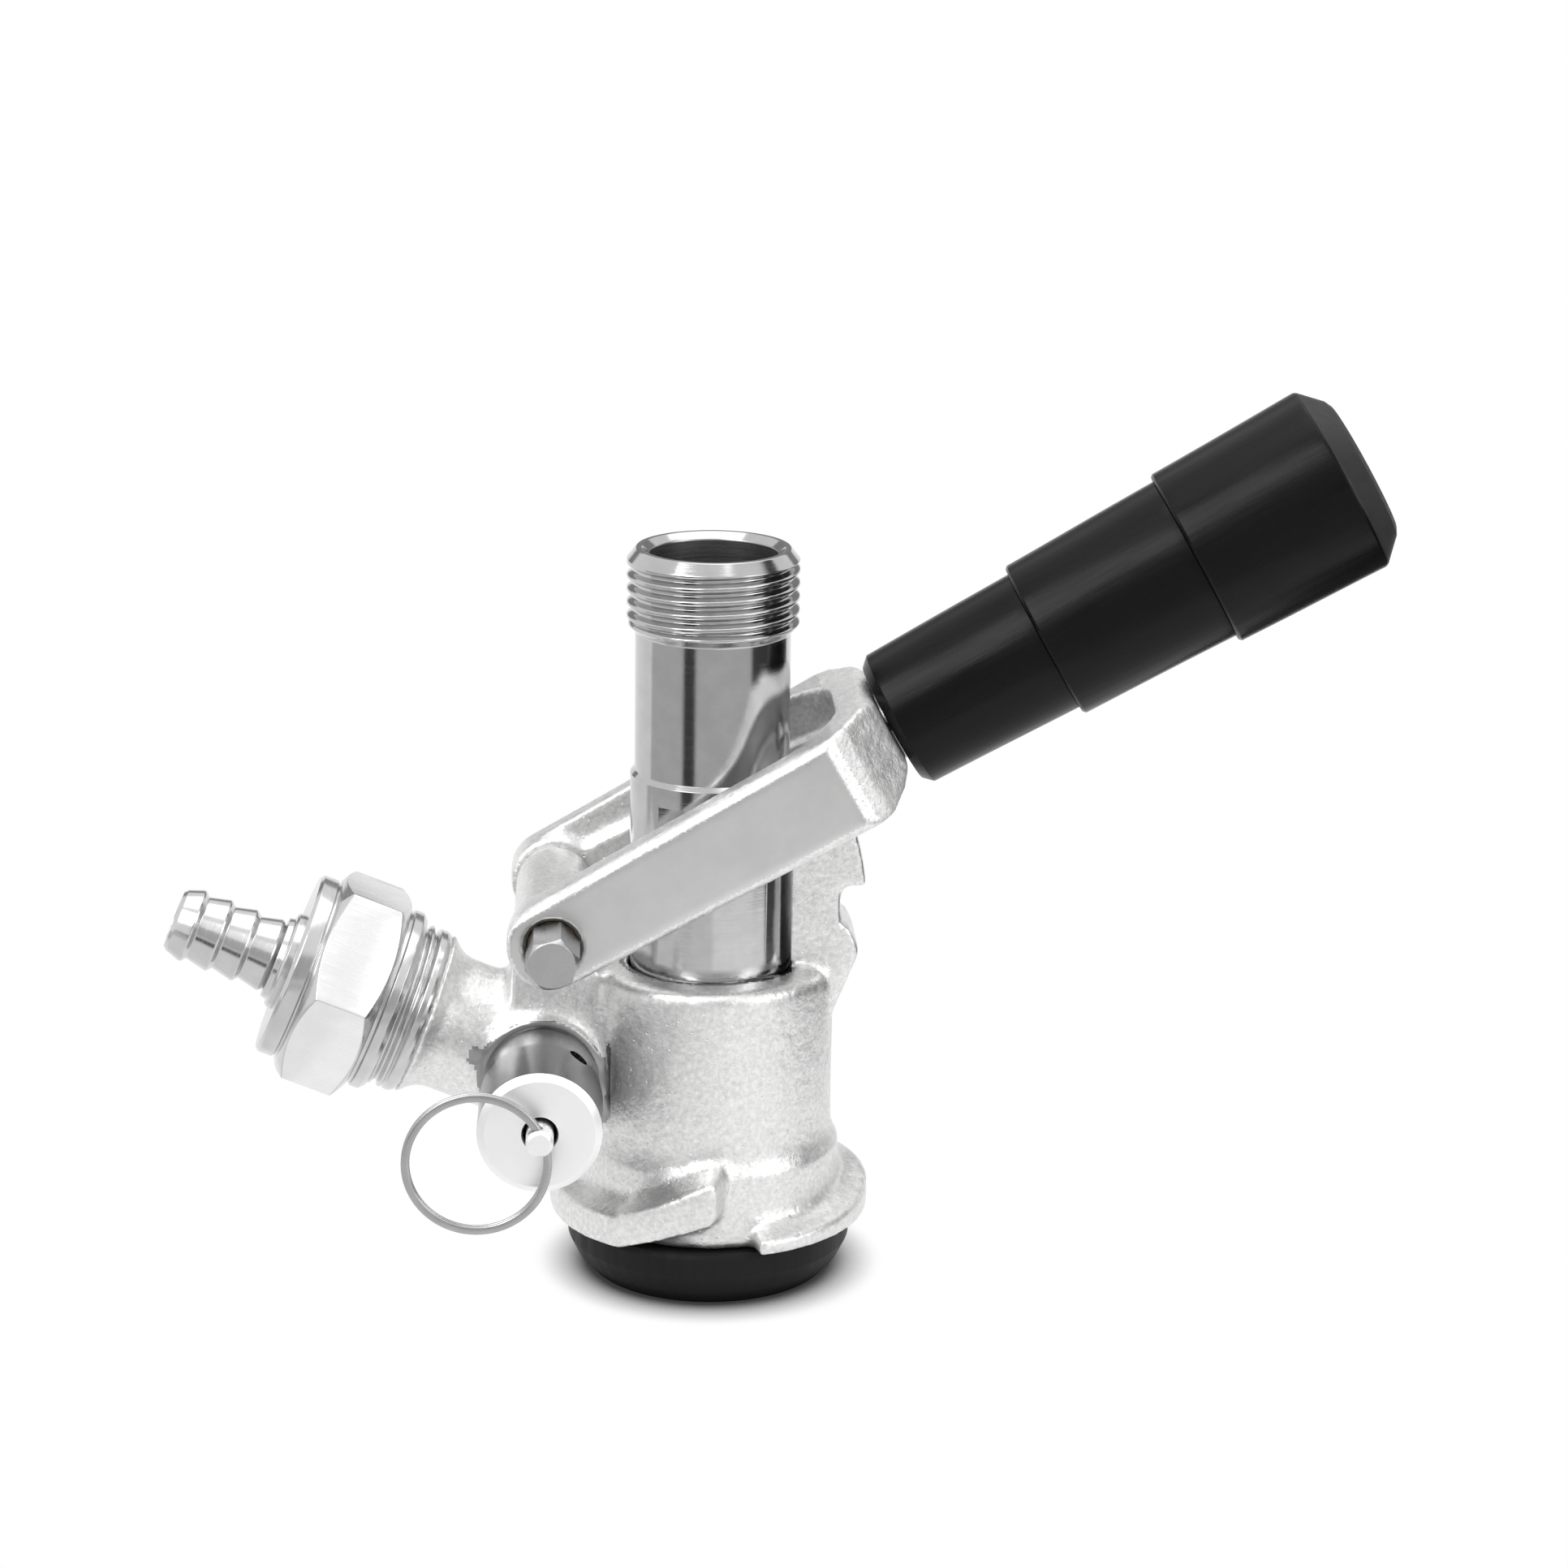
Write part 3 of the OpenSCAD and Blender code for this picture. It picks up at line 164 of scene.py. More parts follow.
class Shader(Graph):
    """Builds one node material."""

    PATTERN = (0.3, 0.7)

    def __init__(self, name: str, **sockets: object) -> None:
        """Starts the material.

        Args:
            name: the material's name.
            sockets: the surface's inputs, with _ for a space.
        """
        self.material = bpy.data.materials.new(name)
        self.material.use_nodes = True
        super().__init__(self.material.node_tree)
        self.out = self.add("ShaderNodeOutputMaterial")
        self.surface = self.add("ShaderNodeBsdfPrincipled", **sockets)
        self.link(self.surface, "BSDF", self.out, "Surface")

    def coordinates(self, place: Placing, stretch: Point = (1, 1, 1)) -> Node:
        """Adds object coordinates in a piece's own axes, in millimetres.

        Args:
            place: the piece's placing.
            stretch: factors on its three axes.

        Returns:
            The Mapping node whose output holds them.
        """
        inverse = place.matrix().inverted()
        turn = self.add("ShaderNodeMapping", vector_type="POINT", Location=inverse.translation,
                        Rotation=inverse.to_euler(), Scale=(1 / MM,) * 3)
        self.link(self.add("ShaderNodeTexCoord"), "Object", turn, "Vector")
        scale = self.add("ShaderNodeMapping", vector_type="POINT", Scale=stretch)
        self.link(turn, "Vector", scale, "Vector")
        return scale

    def noise(self, coords: Node, scale: float, detail: float = 4, rough: float = 0.55) -> Node:
        """Adds a noise pattern.

        Args:
            coords: the node that gives its coordinates.
            scale: features per millimetre.
            detail: octaves.
            rough: how strong the fine octaves are.

        Returns:
            The node, whose Fac output holds the pattern.
        """
        node = self.add("ShaderNodeTexNoise", Scale=scale, Detail=detail, Roughness=rough)
        self.link(coords, 0, node, "Vector")
        return node

    def remap(self, source: Node, out: object, read: Pair, given: Pair) -> Node:
        """Adds a clamped linear change of range.

        Args:
            source: the node read.
            out: its output.
            read: the range read.
            given: the range given.

        Returns:
            The Map Range node.
        """
        node = self.add("ShaderNodeMapRange", From_Min=read[0], From_Max=read[1],
                        To_Min=given[0], To_Max=given[1])
        self.link(source, out, node, "Value")
        return node

    def cover(self, tone: Node, out: object, dark: Point, light: Point) -> None:
        """Colours the surface between two tones by a pattern.

        Args:
            tone: the pattern's node.
            out: its output.
            dark, light: the colours at 0 and 1.
        """
        ramp = self.add("ShaderNodeValToRGB")
        ramp.color_ramp.elements[0].color = (*dark, 1)
        ramp.color_ramp.elements[1].color = (*light, 1)
        self.link(tone, out, ramp, "Fac")
        self.link(ramp, "Color", self.surface, "Base Color")

    def roughen(self, pattern: Node, roughness: Pair) -> None:
        """Varies the surface's roughness by a noise."""
        self.link(self.remap(pattern, "Fac", self.PATTERN, roughness), "Result", self.surface, "Roughness")

    def bump(self, sources: Sequence[tuple[Node, object, float]]) -> None:
        """Stacks bumps on the surface.

        Args:
            sources: node, output and height in millimetres of each pattern.
        """
        last = None
        for node, out, height in sources:
            layer = self.add("ShaderNodeBump", Strength=1, Distance=height * MM)
            self.link(node, out, layer, "Height")
            if last:
                self.link(last, "Normal", layer, "Normal")
            last = layer
        self.link(last, "Normal", self.surface, "Normal")


def grey(value: float, blue: float = 0.0) -> Point:
    """Returns a grey, with a little more or less blue."""
    return (value, value, value + blue)


@dataclass(frozen=True)
class Finish:
    """What every finish has: a name, axes, a range of roughness and two tones."""

    name: str
    place: Placing
    roughness: Pair
    light: Point
    dark: Point


@dataclass(frozen=True)
class CastSteel(Finish):
    """Tumbled casting: soft unevenness, speckled grain and a few pits."""

    grain: float = 0.07
    peel: float = 0.14
    swell: float = 0.18
    metal: float = 0.9

    def make(self) -> Material:
        """Returns the material."""
        s = Shader(self.name, Metallic=self.metal)
        coords = s.coordinates(self.place)
        broad = s.noise(coords, 0.16, 3)
        grain = s.noise(coords, 1.5, 5, 0.7)
        peel = s.noise(coords, 0.55, 3)
        pits = s.add("ShaderNodeTexVoronoi", Scale=0.9)
        s.link(coords, 0, pits, "Vector")
        pit = s.remap(pits, "Distance", (0.03, 0.14), (0, 1))
        s.cover(s.remap(grain, "Fac", (0.32, 0.68), (0, 1)), "Result", self.dark, self.light)
        s.roughen(peel, self.roughness)
        s.bump([(broad, "Fac", self.swell), (peel, "Fac", self.peel), (grain, "Fac", self.grain),
                (pit, "Result", self.grain)])
        return s.material


@dataclass(frozen=True)
class TurnedSteel(Finish):
    """Lathe-turned steel: fine rings round the piece's axis, under a polish."""

    ring: float = 0.006

    def make(self) -> Material:
        """Returns the material."""
        s = Shader(self.name, Metallic=1.0)
        rings = s.noise(s.coordinates(self.place, (0.05, 0.05, 9.0)), 1.0, 4, 0.7)
        smear = s.noise(s.coordinates(self.place), 0.35, 4)
        s.cover(smear, "Fac", self.dark, self.light)
        s.roughen(rings, self.roughness)
        s.bump([(rings, "Fac", self.ring), (smear, "Fac", self.ring)])
        return s.material


@dataclass(frozen=True)
class BrushedSteel(Finish):
    """Machined flats: fine straight scratches across the piece, with faint smudges."""

    stretch: Point = (1, 1, 1)
    scratch: float = 0.005

    def make(self) -> Material:
        """Returns the material."""
        s = Shader(self.name, Metallic=1.0)
        lines = s.noise(s.coordinates(self.place, self.stretch), 1.0, 4, 0.65)
        smudge = s.noise(s.coordinates(self.place), 0.25, 4, 0.6)
        s.cover(smudge, "Fac", self.dark, self.light)
        s.roughen(lines, self.roughness)
        s.bump([(lines, "Fac", self.scratch), (smudge, "Fac", self.scratch * 4)])
        return s.material


@dataclass(frozen=True)
class Moulded(Finish):
    """Moulded rubber or plastic: grain, dust and faint streaks along the piece."""

    grain: float = 0.015
    streak: float = 0.0
    shine: float = 0.2

    def make(self) -> Material:
        """Returns the material."""
        s = Shader(self.name, Specular_IOR_Level=self.shine, IOR=1.5)
        coords = s.coordinates(self.place)
        broad = s.noise(coords, 0.2, 4)
        grain = s.noise(coords, 3.0, 3)
        streaks = s.noise(s.coordinates(self.place, (1.2, 1.2, 0.10)), 0.7, 4, 0.6)
        s.cover(broad, "Fac", self.dark, self.light)
        s.roughen(streaks, self.roughness)
        s.bump([(streaks, "Fac", self.streak), (grain, "Fac", self.grain)])
        return s.material


class Finishes:
    """Every finish on the coupler, made once."""

    def __init__(self) -> None:
        """Makes the materials."""
        tones = grey(0.92, -0.005), grey(0.66, -0.005)
        self.cast = CastSteel("Cast steel", UPRIGHT, (0.28, 0.42), *tones).make()
        self.rough_cast = CastSteel(
            "Rough cast steel", UPRIGHT, (0.4, 0.56), *tones, grain=0.16, peel=0.26).make()
        self.ground = BrushedSteel(
            "Ground lever side", HANDLE, (0.30, 0.42), grey(0.70, -0.005), grey(0.58),
            stretch=(2.0, 1.0, 0.3), scratch=0.004).make()
        self.flats = BrushedSteel(
            "Milled nut flats", INLET, (0.2, 0.32), grey(0.91, -0.005), grey(0.78),
            stretch=(6.0, 6.0, 0.2)).make()
        self.hex = BrushedSteel(
            "Bolt head", UPRIGHT, (0.25, 0.38), grey(0.5), grey(0.4),
            stretch=(5.0, 0.4, 5.0), scratch=0.008).make()
        self.probe = TurnedSteel(
            "Turned probe", UPRIGHT, (0.07, 0.16), grey(0.57), grey(0.44, 0.005)).make()
        self.inlet = TurnedSteel(
            "Turned gas fitting", INLET, (0.12, 0.24), grey(0.70), grey(0.52, 0.005)).make()
        self.relief = TurnedSteel(
            "Turned relief housing", RELIEF, (0.16, 0.28), grey(0.38), grey(0.28, 0.005),
            ring=0.008).make()
        self.face = TurnedSteel(
            "Faced relief cap", RELIEF, (0.35, 0.5), grey(0.98), grey(0.93), ring=0.004).make()
        self.wire = TurnedSteel(
            "Drawn wire", UPRIGHT, (0.22, 0.35), grey(0.5), grey(0.36), ring=0.004).make()
        self.brass = TurnedSteel(
            "Dull brass bush", UPRIGHT, (0.35, 0.5), (0.26, 0.21, 0.13), (0.18, 0.14, 0.09),
            ring=0.005).make()
        self.grip = Moulded(
            "Black vinyl grip", HANDLE, (0.2, 0.34), grey(0.005), grey(0.002),
            grain=0.004, streak=0.03, shine=0.16).make()
        # Grip end: the grip's black vinyl, rougher, with painted light: its tones are lighter than the
        # grip's and stand in for the light falling on the end face.
        self.grip_end_painted_light = Moulded(
            "Dull grip end with painted light", HANDLE, (0.4, 0.55), grey(0.03), grey(0.018),
            grain=0.006, shine=0.3).make()
        self.seal = Moulded(
            "Black seal rubber", UPRIGHT, (0.42, 0.6), grey(0.009), grey(0.004), grain=0.012).make()
        self.ball = Moulded(
            "Milky plastic", UPRIGHT, (0.25, 0.35), (0.88, 0.85, 0.77), (0.80, 0.77, 0.68),
            shine=0.5).make()


def new_object(name: str, mesh: Mesh, materials: Sequence[Material]) -> Object:
    """Links an object for a mesh.

    Args:
        name: the object's name.
        mesh: its mesh, in the row frame.
        materials: its material slots.

    Returns:
        The object.
    """
    obj = bpy.data.objects.new(name, mesh)
    bpy.context.scene.collection.objects.link(obj)
    mesh.materials.clear()
    for material in materials:
        mesh.materials.append(material)
    return obj


def to_mesh(bm: bmesh.types.BMesh, name: str) -> Mesh:
    """Turns a BMesh into a mesh, and frees it.

    Args:
        bm: the BMesh, used up.
        name: the mesh's name.

    Returns:
        The mesh.
    """
    mesh = bpy.data.meshes.new(name)
    bm.to_mesh(mesh)
    bm.free()
    return mesh


def round_corners(corners: Sequence[Point], closed: bool, steps: int = 5) -> list[Pair]:
    """Rounds an outline's corners.

    Args:
        corners: r, z and corner radius of each point.
        closed: whether the last point joins the first.
        steps: points of each rounding.

    Returns:
        The rounded outline's points.
    """
    points: list[Pair] = []
    count = len(corners)
    for i, (r, z, radius) in enumerate(corners):
        here = Vector((r, z))
        if radius <= 0 or (not closed and i in (0, count - 1)):
            points.append((r, z))
            continue
        before = Vector(corners[i - 1][:2]) - here
        after = Vector(corners[(i + 1) % count][:2]) - here
        half = before.angle(after) / 2
        reach = min(radius / math.tan(half), before.length * 0.49, after.length * 0.49)
        a, b = here + before.normalized() * reach, here + after.normalized() * reach
        for k in range(steps + 1):
            t = k / steps
            p = a.lerp(here, t).lerp(here.lerp(b, t), t)
            points.append((p.x, p.y))
    return points


def subdivide(points: Sequence[Pair], longest: float, low: float, high: float) -> list[Pair]:
    """Splits an outline's long stretches between two heights.

    Args:
        points: the outline.
        longest: the longest step left there.
        low, high: the heights.

    Returns:
        The finer outline.
    """
    fine = [points[0]]
    for p, q in zip(points, points[1:]):
        inside = min(p[1], q[1]) < high and max(p[1], q[1]) > low
        n = max(1, math.ceil(math.dist(p, q) / longest)) if inside else 1
        fine += [(p[0] + (q[0] - p[0]) * k / n, p[1] + (q[1] - p[1]) * k / n) for k in range(1, n + 1)]
    return fine


def lathe(name: str, outline: Sequence[Pair], closed: bool, sides: int = 128) -> Mesh:
    """Turns an outline round the Z axis.

    Args:
        name: the mesh's name.
        outline: r and z of each point; an open outline starts and ends on the axis.
        closed: whether the outline closes on itself, as a ring's does.
        sides: divisions of the turn.

    Returns:
        The mesh, in the piece's own millimetres.
    """
    bm = bmesh.new()
    turns = [2 * math.pi * k / sides for k in range(sides)]
    rings = []
    for r, z in outline:
        spots = [(r * math.cos(a), r * math.sin(a), z) for a in turns] if r >= TINY else [(0, 0, z)]
        rings.append([bm.verts.new(spot) for spot in spots])
    for a, b in zip(rings, rings[1:] + rings[:1] if closed else rings[1:]):
        for k in range(sides):
            m = (k + 1) % sides
            if len(a) == 1:
                bm.faces.new((a[0], b[m], b[k]))
            elif len(b) == 1:
                bm.faces.new((a[k], a[m], b[0]))
            else:
                bm.faces.new((a[k], a[m], b[m], b[k]))
    bmesh.ops.remove_doubles(bm, verts=bm.verts, dist=TINY)
    bmesh.ops.recalc_face_normals(bm, faces=bm.faces)
    return to_mesh(bm, name)


def prism(radius: float, length: float, sides: int, place: Matrix) -> Mesh:
    """Makes a prism, or with many sides a rod.

    Args:
        radius: its radius over the corners.
        length: its length along Z.
        sides: its number of sides.
        place: where it goes.

    Returns:
        The mesh.
    """
    bm = bmesh.new()
    bmesh.ops.create_cone(bm, cap_ends=True, segments=sides, radius1=radius, radius2=radius, depth=length)
    bmesh.ops.transform(bm, matrix=place, verts=bm.verts)
    bmesh.ops.recalc_face_normals(bm, faces=bm.faces)
    return to_mesh(bm, "Prism")


def block(size: Point, centre: Point) -> Mesh:
    """Makes a box mesh.

    Args:
        size: its three lengths.
        centre: its centre.

    Returns:
        The mesh.
    """
    bm = bmesh.new()
    bmesh.ops.create_cube(bm, size=1)
    bmesh.ops.scale(bm, vec=size, verts=bm.verts)
    bmesh.ops.translate(bm, vec=centre, verts=bm.verts)
    return to_mesh(bm, "Block")


def smooth(obj: Object, angle: float) -> Object:
    """Shades an object smooth, with its edges over an angle kept sharp.

    Args:
        obj: the object.
        angle: the least sharp angle, in degrees.

    Returns:
        The object.
    """
    obj.data.shade_smooth()
    obj.data.set_sharp_from_angle(angle=math.radians(angle))
    return obj


def baked(obj: Object) -> Object:
    """Turns an object's modifiers into plain mesh.

    Args:
        obj: the object.

    Returns:
        The object, without modifiers.
    """
    graph = bpy.context.evaluated_depsgraph_get()
    mesh = bpy.data.meshes.new_from_object(obj.evaluated_get(graph), depsgraph=graph)
    old = obj.data
    obj.modifiers.clear()
    obj.data = mesh
    bpy.data.meshes.remove(old)
    return obj


def bevel(obj: Object, width: float, angle: float) -> None:
    """Adds rounded edges to an object.

    Args:
        obj: the object.
        width: how wide they are, in its own units.
        angle: the least angle rounded, in degrees.
    """
    edges = obj.modifiers.new("Edges", "BEVEL")
    edges.width, edges.segments = width, 2
    edges.limit_method, edges.angle_limit = "ANGLE", math.radians(angle)


def combine(obj: Object, tool: Mesh, operation: str = "DIFFERENCE") -> Object:
    """Cuts a closed mesh out of an object, or keeps what both share.

    Args:
        obj: the object, changed to the plain result.
        tool: the other mesh, in the same space, used up.
        operation: the Boolean modifier's operation.

    Returns:
        The object.
    """
    other = new_object("Tool", tool, [])
    modifier = obj.modifiers.new("Combine", "BOOLEAN")
    modifier.operation, modifier.solver, modifier.object = operation, "EXACT", other
    baked(obj)
    bpy.data.objects.remove(other)
    bpy.data.meshes.remove(tool)
    return obj


def placed(mesh: Mesh, place: Placing) -> Mesh:
    """Moves a mesh from a piece's own millimetres into the row frame.

    Args:
        mesh: the mesh.
        place: the piece's placing.

    Returns:
        The mesh.
    """
    mesh.transform(place.matrix())
    mesh.update()
    return mesh


class ShapeTree(Graph):
    """Builds one Geometry Nodes tree with named inputs."""

    def __init__(self, name: str, inputs: dict[str, str]) -> None:
        """Starts a tree.

        Args:
            name: the tree's name.
            inputs: the kind of each input between the geometry and the material.
        """
        self.tree = bpy.data.node_groups.new(name, "GeometryNodeTree")
        super().__init__(self.tree)
        face = self.tree.interface
        self.ids = {n: face.new_socket(n, in_out="INPUT", socket_type="NodeSocket" + kind).identifier
                    for n, kind in {"Geometry": "Geometry", **inputs, "Material": "Material"}.items()}
        face.new_socket("Geometry", in_out="OUTPUT", socket_type="NodeSocketGeometry")
        self.source = self.add("NodeGroupInput")
        self.sink = self.add("NodeGroupOutput")

    def feed(self, node: Node, **inputs: object) -> NodeSocket:
        """Links sockets to a node's inputs.

        Args:
            node: the node.
            inputs: the socket for each input's name, with _ for a space.

        Returns:
            The node's first output.
        """
        for key, socket in inputs.items():
            self.links.new(socket, node.inputs[key.replace("_", " ")])
        return node.outputs[0]

    def math(self, operation: str, *terms: object) -> NodeSocket:
        """Adds a Math node.

        Args:
            operation: its operation.
            terms: sockets or numbers, in order.

        Returns:
            Its output.
        """
        node = self.add("ShaderNodeMath", operation=operation)
        for k, term in enumerate(terms):
            if isinstance(term, (int, float)):
                node.inputs[k].default_value = term
            else:
                self.links.new(term, node.inputs[k])
        return node.outputs[0]

    def finish(self, geometry: NodeSocket) -> None:
        """Ends the tree in Realize Instances and Set Material.

        Args:
            geometry: the socket that holds the made geometry.
        """
        real = self.feed(self.add("GeometryNodeRealizeInstances"), Geometry=geometry)
        dressed = self.feed(self.add("GeometryNodeSetMaterial"), Geometry=real,
                            Material=self.source.outputs["Material"])
        self.links.new(dressed, self.sink.inputs[0])

    def apply(self, obj: Object, **values: object) -> Object:
        """Runs the tree on an object and keeps the plain result.

        Args:
            obj: the object.
            values: each input's value, with _ for a space.

        Returns:
            The object.
        """
        modifier = obj.modifiers.new("Shape", "NODES")
        modifier.node_group = self.tree
        for key, value in values.items():
            modifier[self.ids[key.replace("_", " ")]] = value
        return baked(obj)


class ThreadTree(ShapeTree):
    """Cuts a helical thread into a lathe mesh whose axis is Z."""

    FLANK = (0.12, 0.88)
    RUN_IN = 0.9
    RUN_OUT = 0.5

    def __init__(self) -> None:
        """Builds the tree."""
        names = ("Start", "End", "Pitch", "Depth", "Least Radius")
        super().__init__("Helical thread", dict.fromkeys(names, "Float"))
        inp = self.source.outputs
        split = self.add("ShaderNodeSeparateXYZ")
        self.feed(split, Vector=self.add("GeometryNodeInputPosition").outputs[0])
        x, y, z = split.outputs
        squares = [self.math("MULTIPLY", c, c) for c in (x, y)]
        radius = self.math("SQRT", self.math("ADD", *squares))
        turn = self.math("DIVIDE", self.math("ARCTAN2", y, x), 2 * math.pi)
        phase = self.math("FRACT", self.math("SUBTRACT", self.math("DIVIDE", z, inp["Pitch"]), turn))
        vee = self.math("MULTIPLY", self.math("ABSOLUTE", self.math("SUBTRACT", phase, 0.5)), 2.0)
        groove = self.math("SUBTRACT", 1.0, self.step(vee, *self.FLANK))
        rise = self.step(self.math("SUBTRACT", z, inp["Start"]), 0.0, self.RUN_IN)
        fall = self.step(self.math("SUBTRACT", inp["End"], z), 0.0, self.RUN_OUT)
        outer = self.math("GREATER_THAN", radius, inp["Least Radius"])
        ends, inside = self.math("MULTIPLY", rise, fall), self.math("MULTIPLY", groove, outer)
        depth = self.math("MULTIPLY", self.math("MULTIPLY", ends, inside), inp["Depth"])
        least = self.math("MAXIMUM", radius, TINY)
        factor = self.math("DIVIDE", self.math("SUBTRACT", radius, depth), least)
        spot = self.feed(self.add("ShaderNodeCombineXYZ"), X=self.math("MULTIPLY", x, factor),
                         Y=self.math("MULTIPLY", y, factor), Z=z)
        self.finish(self.feed(self.add("GeometryNodeSetPosition"), Geometry=inp["Geometry"], Position=spot))

    def step(self, value: NodeSocket, low: float, high: float) -> NodeSocket:
        """Adds a clamped smooth rise from 0 at low to 1 at high.

        Args:
            value: the socket read.
            low, high: the ends of the rise.

        Returns:
            The risen value.
        """
        node = self.add("ShaderNodeMapRange", interpolation_type="SMOOTHSTEP", From_Min=low, From_Max=high)
        return self.feed(node, Value=value)


class CoilTree(ShapeTree):
    """Winds a wire along Z, as a split ring."""

    WIRE_SIDES = 14

    def __init__(self) -> None:
        """Builds the tree."""
        floats = dict.fromkeys(("Radius", "Wire Radius", "Turns", "Length"), "Float")
        super().__init__("Wound wire", {**floats, "Steps": "Int"})
        inp = self.source.outputs
        path = self.feed(self.add("GeometryNodeCurveSpiral"), Height=inp["Length"], Rotations=inp["Turns"],
                         Resolution=inp["Steps"], Start_Radius=inp["Radius"], End_Radius=inp["Radius"])
        ring = self.feed(self.add("GeometryNodeCurvePrimitiveCircle", Resolution=self.WIRE_SIDES),
                         Radius=inp["Wire Radius"])
        sweep = self.add("GeometryNodeCurveToMesh", Fill_Caps=True)
        self.finish(self.feed(sweep, Curve=path, Profile_Curve=ring))


@dataclass
class Piece:
    """A finished object and what it stands for."""

    obj: Object
    body: Body
    slot: Slot
    nodes: tuple[str, ...] = ()

    def settle(self) -> None:
        """Tells the frame what the piece rides on and stands for."""
        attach(self.obj, self.body.value)
        if self.nodes:
            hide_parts(*self.nodes)
        LOG.info("%s rides on %s, %d faces", self.obj.name, self.body.value, len(self.obj.data.polygons))


@dataclass
class Workshop:
    """What the parts are made with."""

    looks: Finishes
    threads: ThreadTree
    coils: CoilTree


class Part:
    """A sub-assembly of the coupler."""

    def build(self, shop: Workshop) -> list[Piece]:
        """Builds the sub-assembly's pieces."""
        raise NotImplementedError


@dataclass
class Casting(Part):
    """A cast piece: the node's solid with the fillets and the slight unevenness of a casting."""

    node: str
    name: str
    voxel: float
    fill_rounds: int
    swell: float
    rounds: int = 5
    edge_share: float = 0.06
    pace: float = 0.6
    refresh: int = 8
    waves: tuple[tuple[Point, float], ...] = (
        ((0.31, 0.17, 0.23), 0.4), ((-0.19, 0.37, 0.11), 1.9), ((0.13, -0.21, 0.43), 3.1))

    def copy(self) -> Object:
        """Returns a merged copy of the node's mesh, as a new object."""
        bm = bmesh.new()
        bm.from_mesh(frame["nodes"][self.node].data)
        bmesh.ops.remove_doubles(bm, verts=bm.verts, dist=TINY)
        return new_object(self.name, to_mesh(bm, self.name), [])

    def remesh(self, obj: Object) -> None:
        """Turns the object's mesh into even small faces."""
        modifier = obj.modifiers.new("Remesh", "REMESH")
        modifier.mode = "VOXEL"
        modifier.voxel_size = self.voxel * MM
        baked(obj)

    def soften(self, obj: Object, held: Callable[[np.ndarray], np.ndarray]) -> None:
        """Rounds the edges, fills the inner corners and adds the casting's slow unevenness.

        Args:
            obj: the remeshed object.
            held: gives, for points in millimetres, how far each may move, from 0 to 1.
        """
        mesh = obj.data
        count = len(mesh.vertices)
        co = np.empty(count * 3)
        normals = np.empty(count * 3)
        mesh.vertices.foreach_get("co", co)
        co = co.reshape(-1, 3) / MM
        edges = np.empty(len(mesh.edges) * 2, dtype=np.int64)
        mesh.edges.foreach_get("vertices", edges)
        a, b = edges.reshape(-1, 2).T
        degree = np.maximum(np.bincount(np.concatenate([a, b]), minlength=count), 1)[:, None]
        free = held(co)[:, None]
        for step in range(self.rounds + self.fill_rounds):
            if step % self.refresh == 0:
                mesh.vertices.foreach_set("co", (co * MM).ravel())
                mesh.update()
                mesh.vertices.foreach_get("normal", normals)
                out = normals.reshape(-1, 3)
            total = np.stack([
                np.bincount(a, co[b, k], count) + np.bincount(b, co[a, k], count) for k in range(3)], 1)
            move = total / degree - co
            if step >= self.rounds:
                hollow = np.einsum("ij,ij->i", move, out) > 0
                move *= np.where(hollow, 1.0, self.edge_share)[:, None]
            co += move * free * self.pace
        ripple = sum(np.sin(co @ np.array(k) + p) for k, p in self.waves)
        co += out * (ripple[:, None] / 3 - 1) * self.swell * free
        mesh.vertices.foreach_set("co", (co * MM).ravel())
        mesh.update()

    def paint(self, obj: Object, index: Callable[[np.ndarray], np.ndarray]) -> None:
        """Gives each face a material slot by its centre.

        Args:
            obj: the object.
            index: gives the slot numbers for face centres in millimetres.
        """
        faces = obj.data.polygons
        centres = np.empty(len(faces) * 3)
        faces.foreach_get("center", centres)
        faces.foreach_set("material_index", index(centres.reshape(-1, 3) / MM).astype(np.int32))

    def finish(self, obj: Object, body: Body, finishes: Sequence[Material]) -> list[Piece]:
        """Remeshes, softens and paints the casting.

        Args:
            obj: the node's copy.
            body: what it rides on.
            finishes: the finishes that finish_of counts.

        Returns:
            The piece.
        """
        self.remesh(obj)
        self.soften(obj, self.loose)
        for material in finishes:
            obj.data.materials.append(material)
        self.paint(obj, self.finish_of)
        return [Piece(smooth(obj, 60), body, Slot.CAST, (self.node,))]


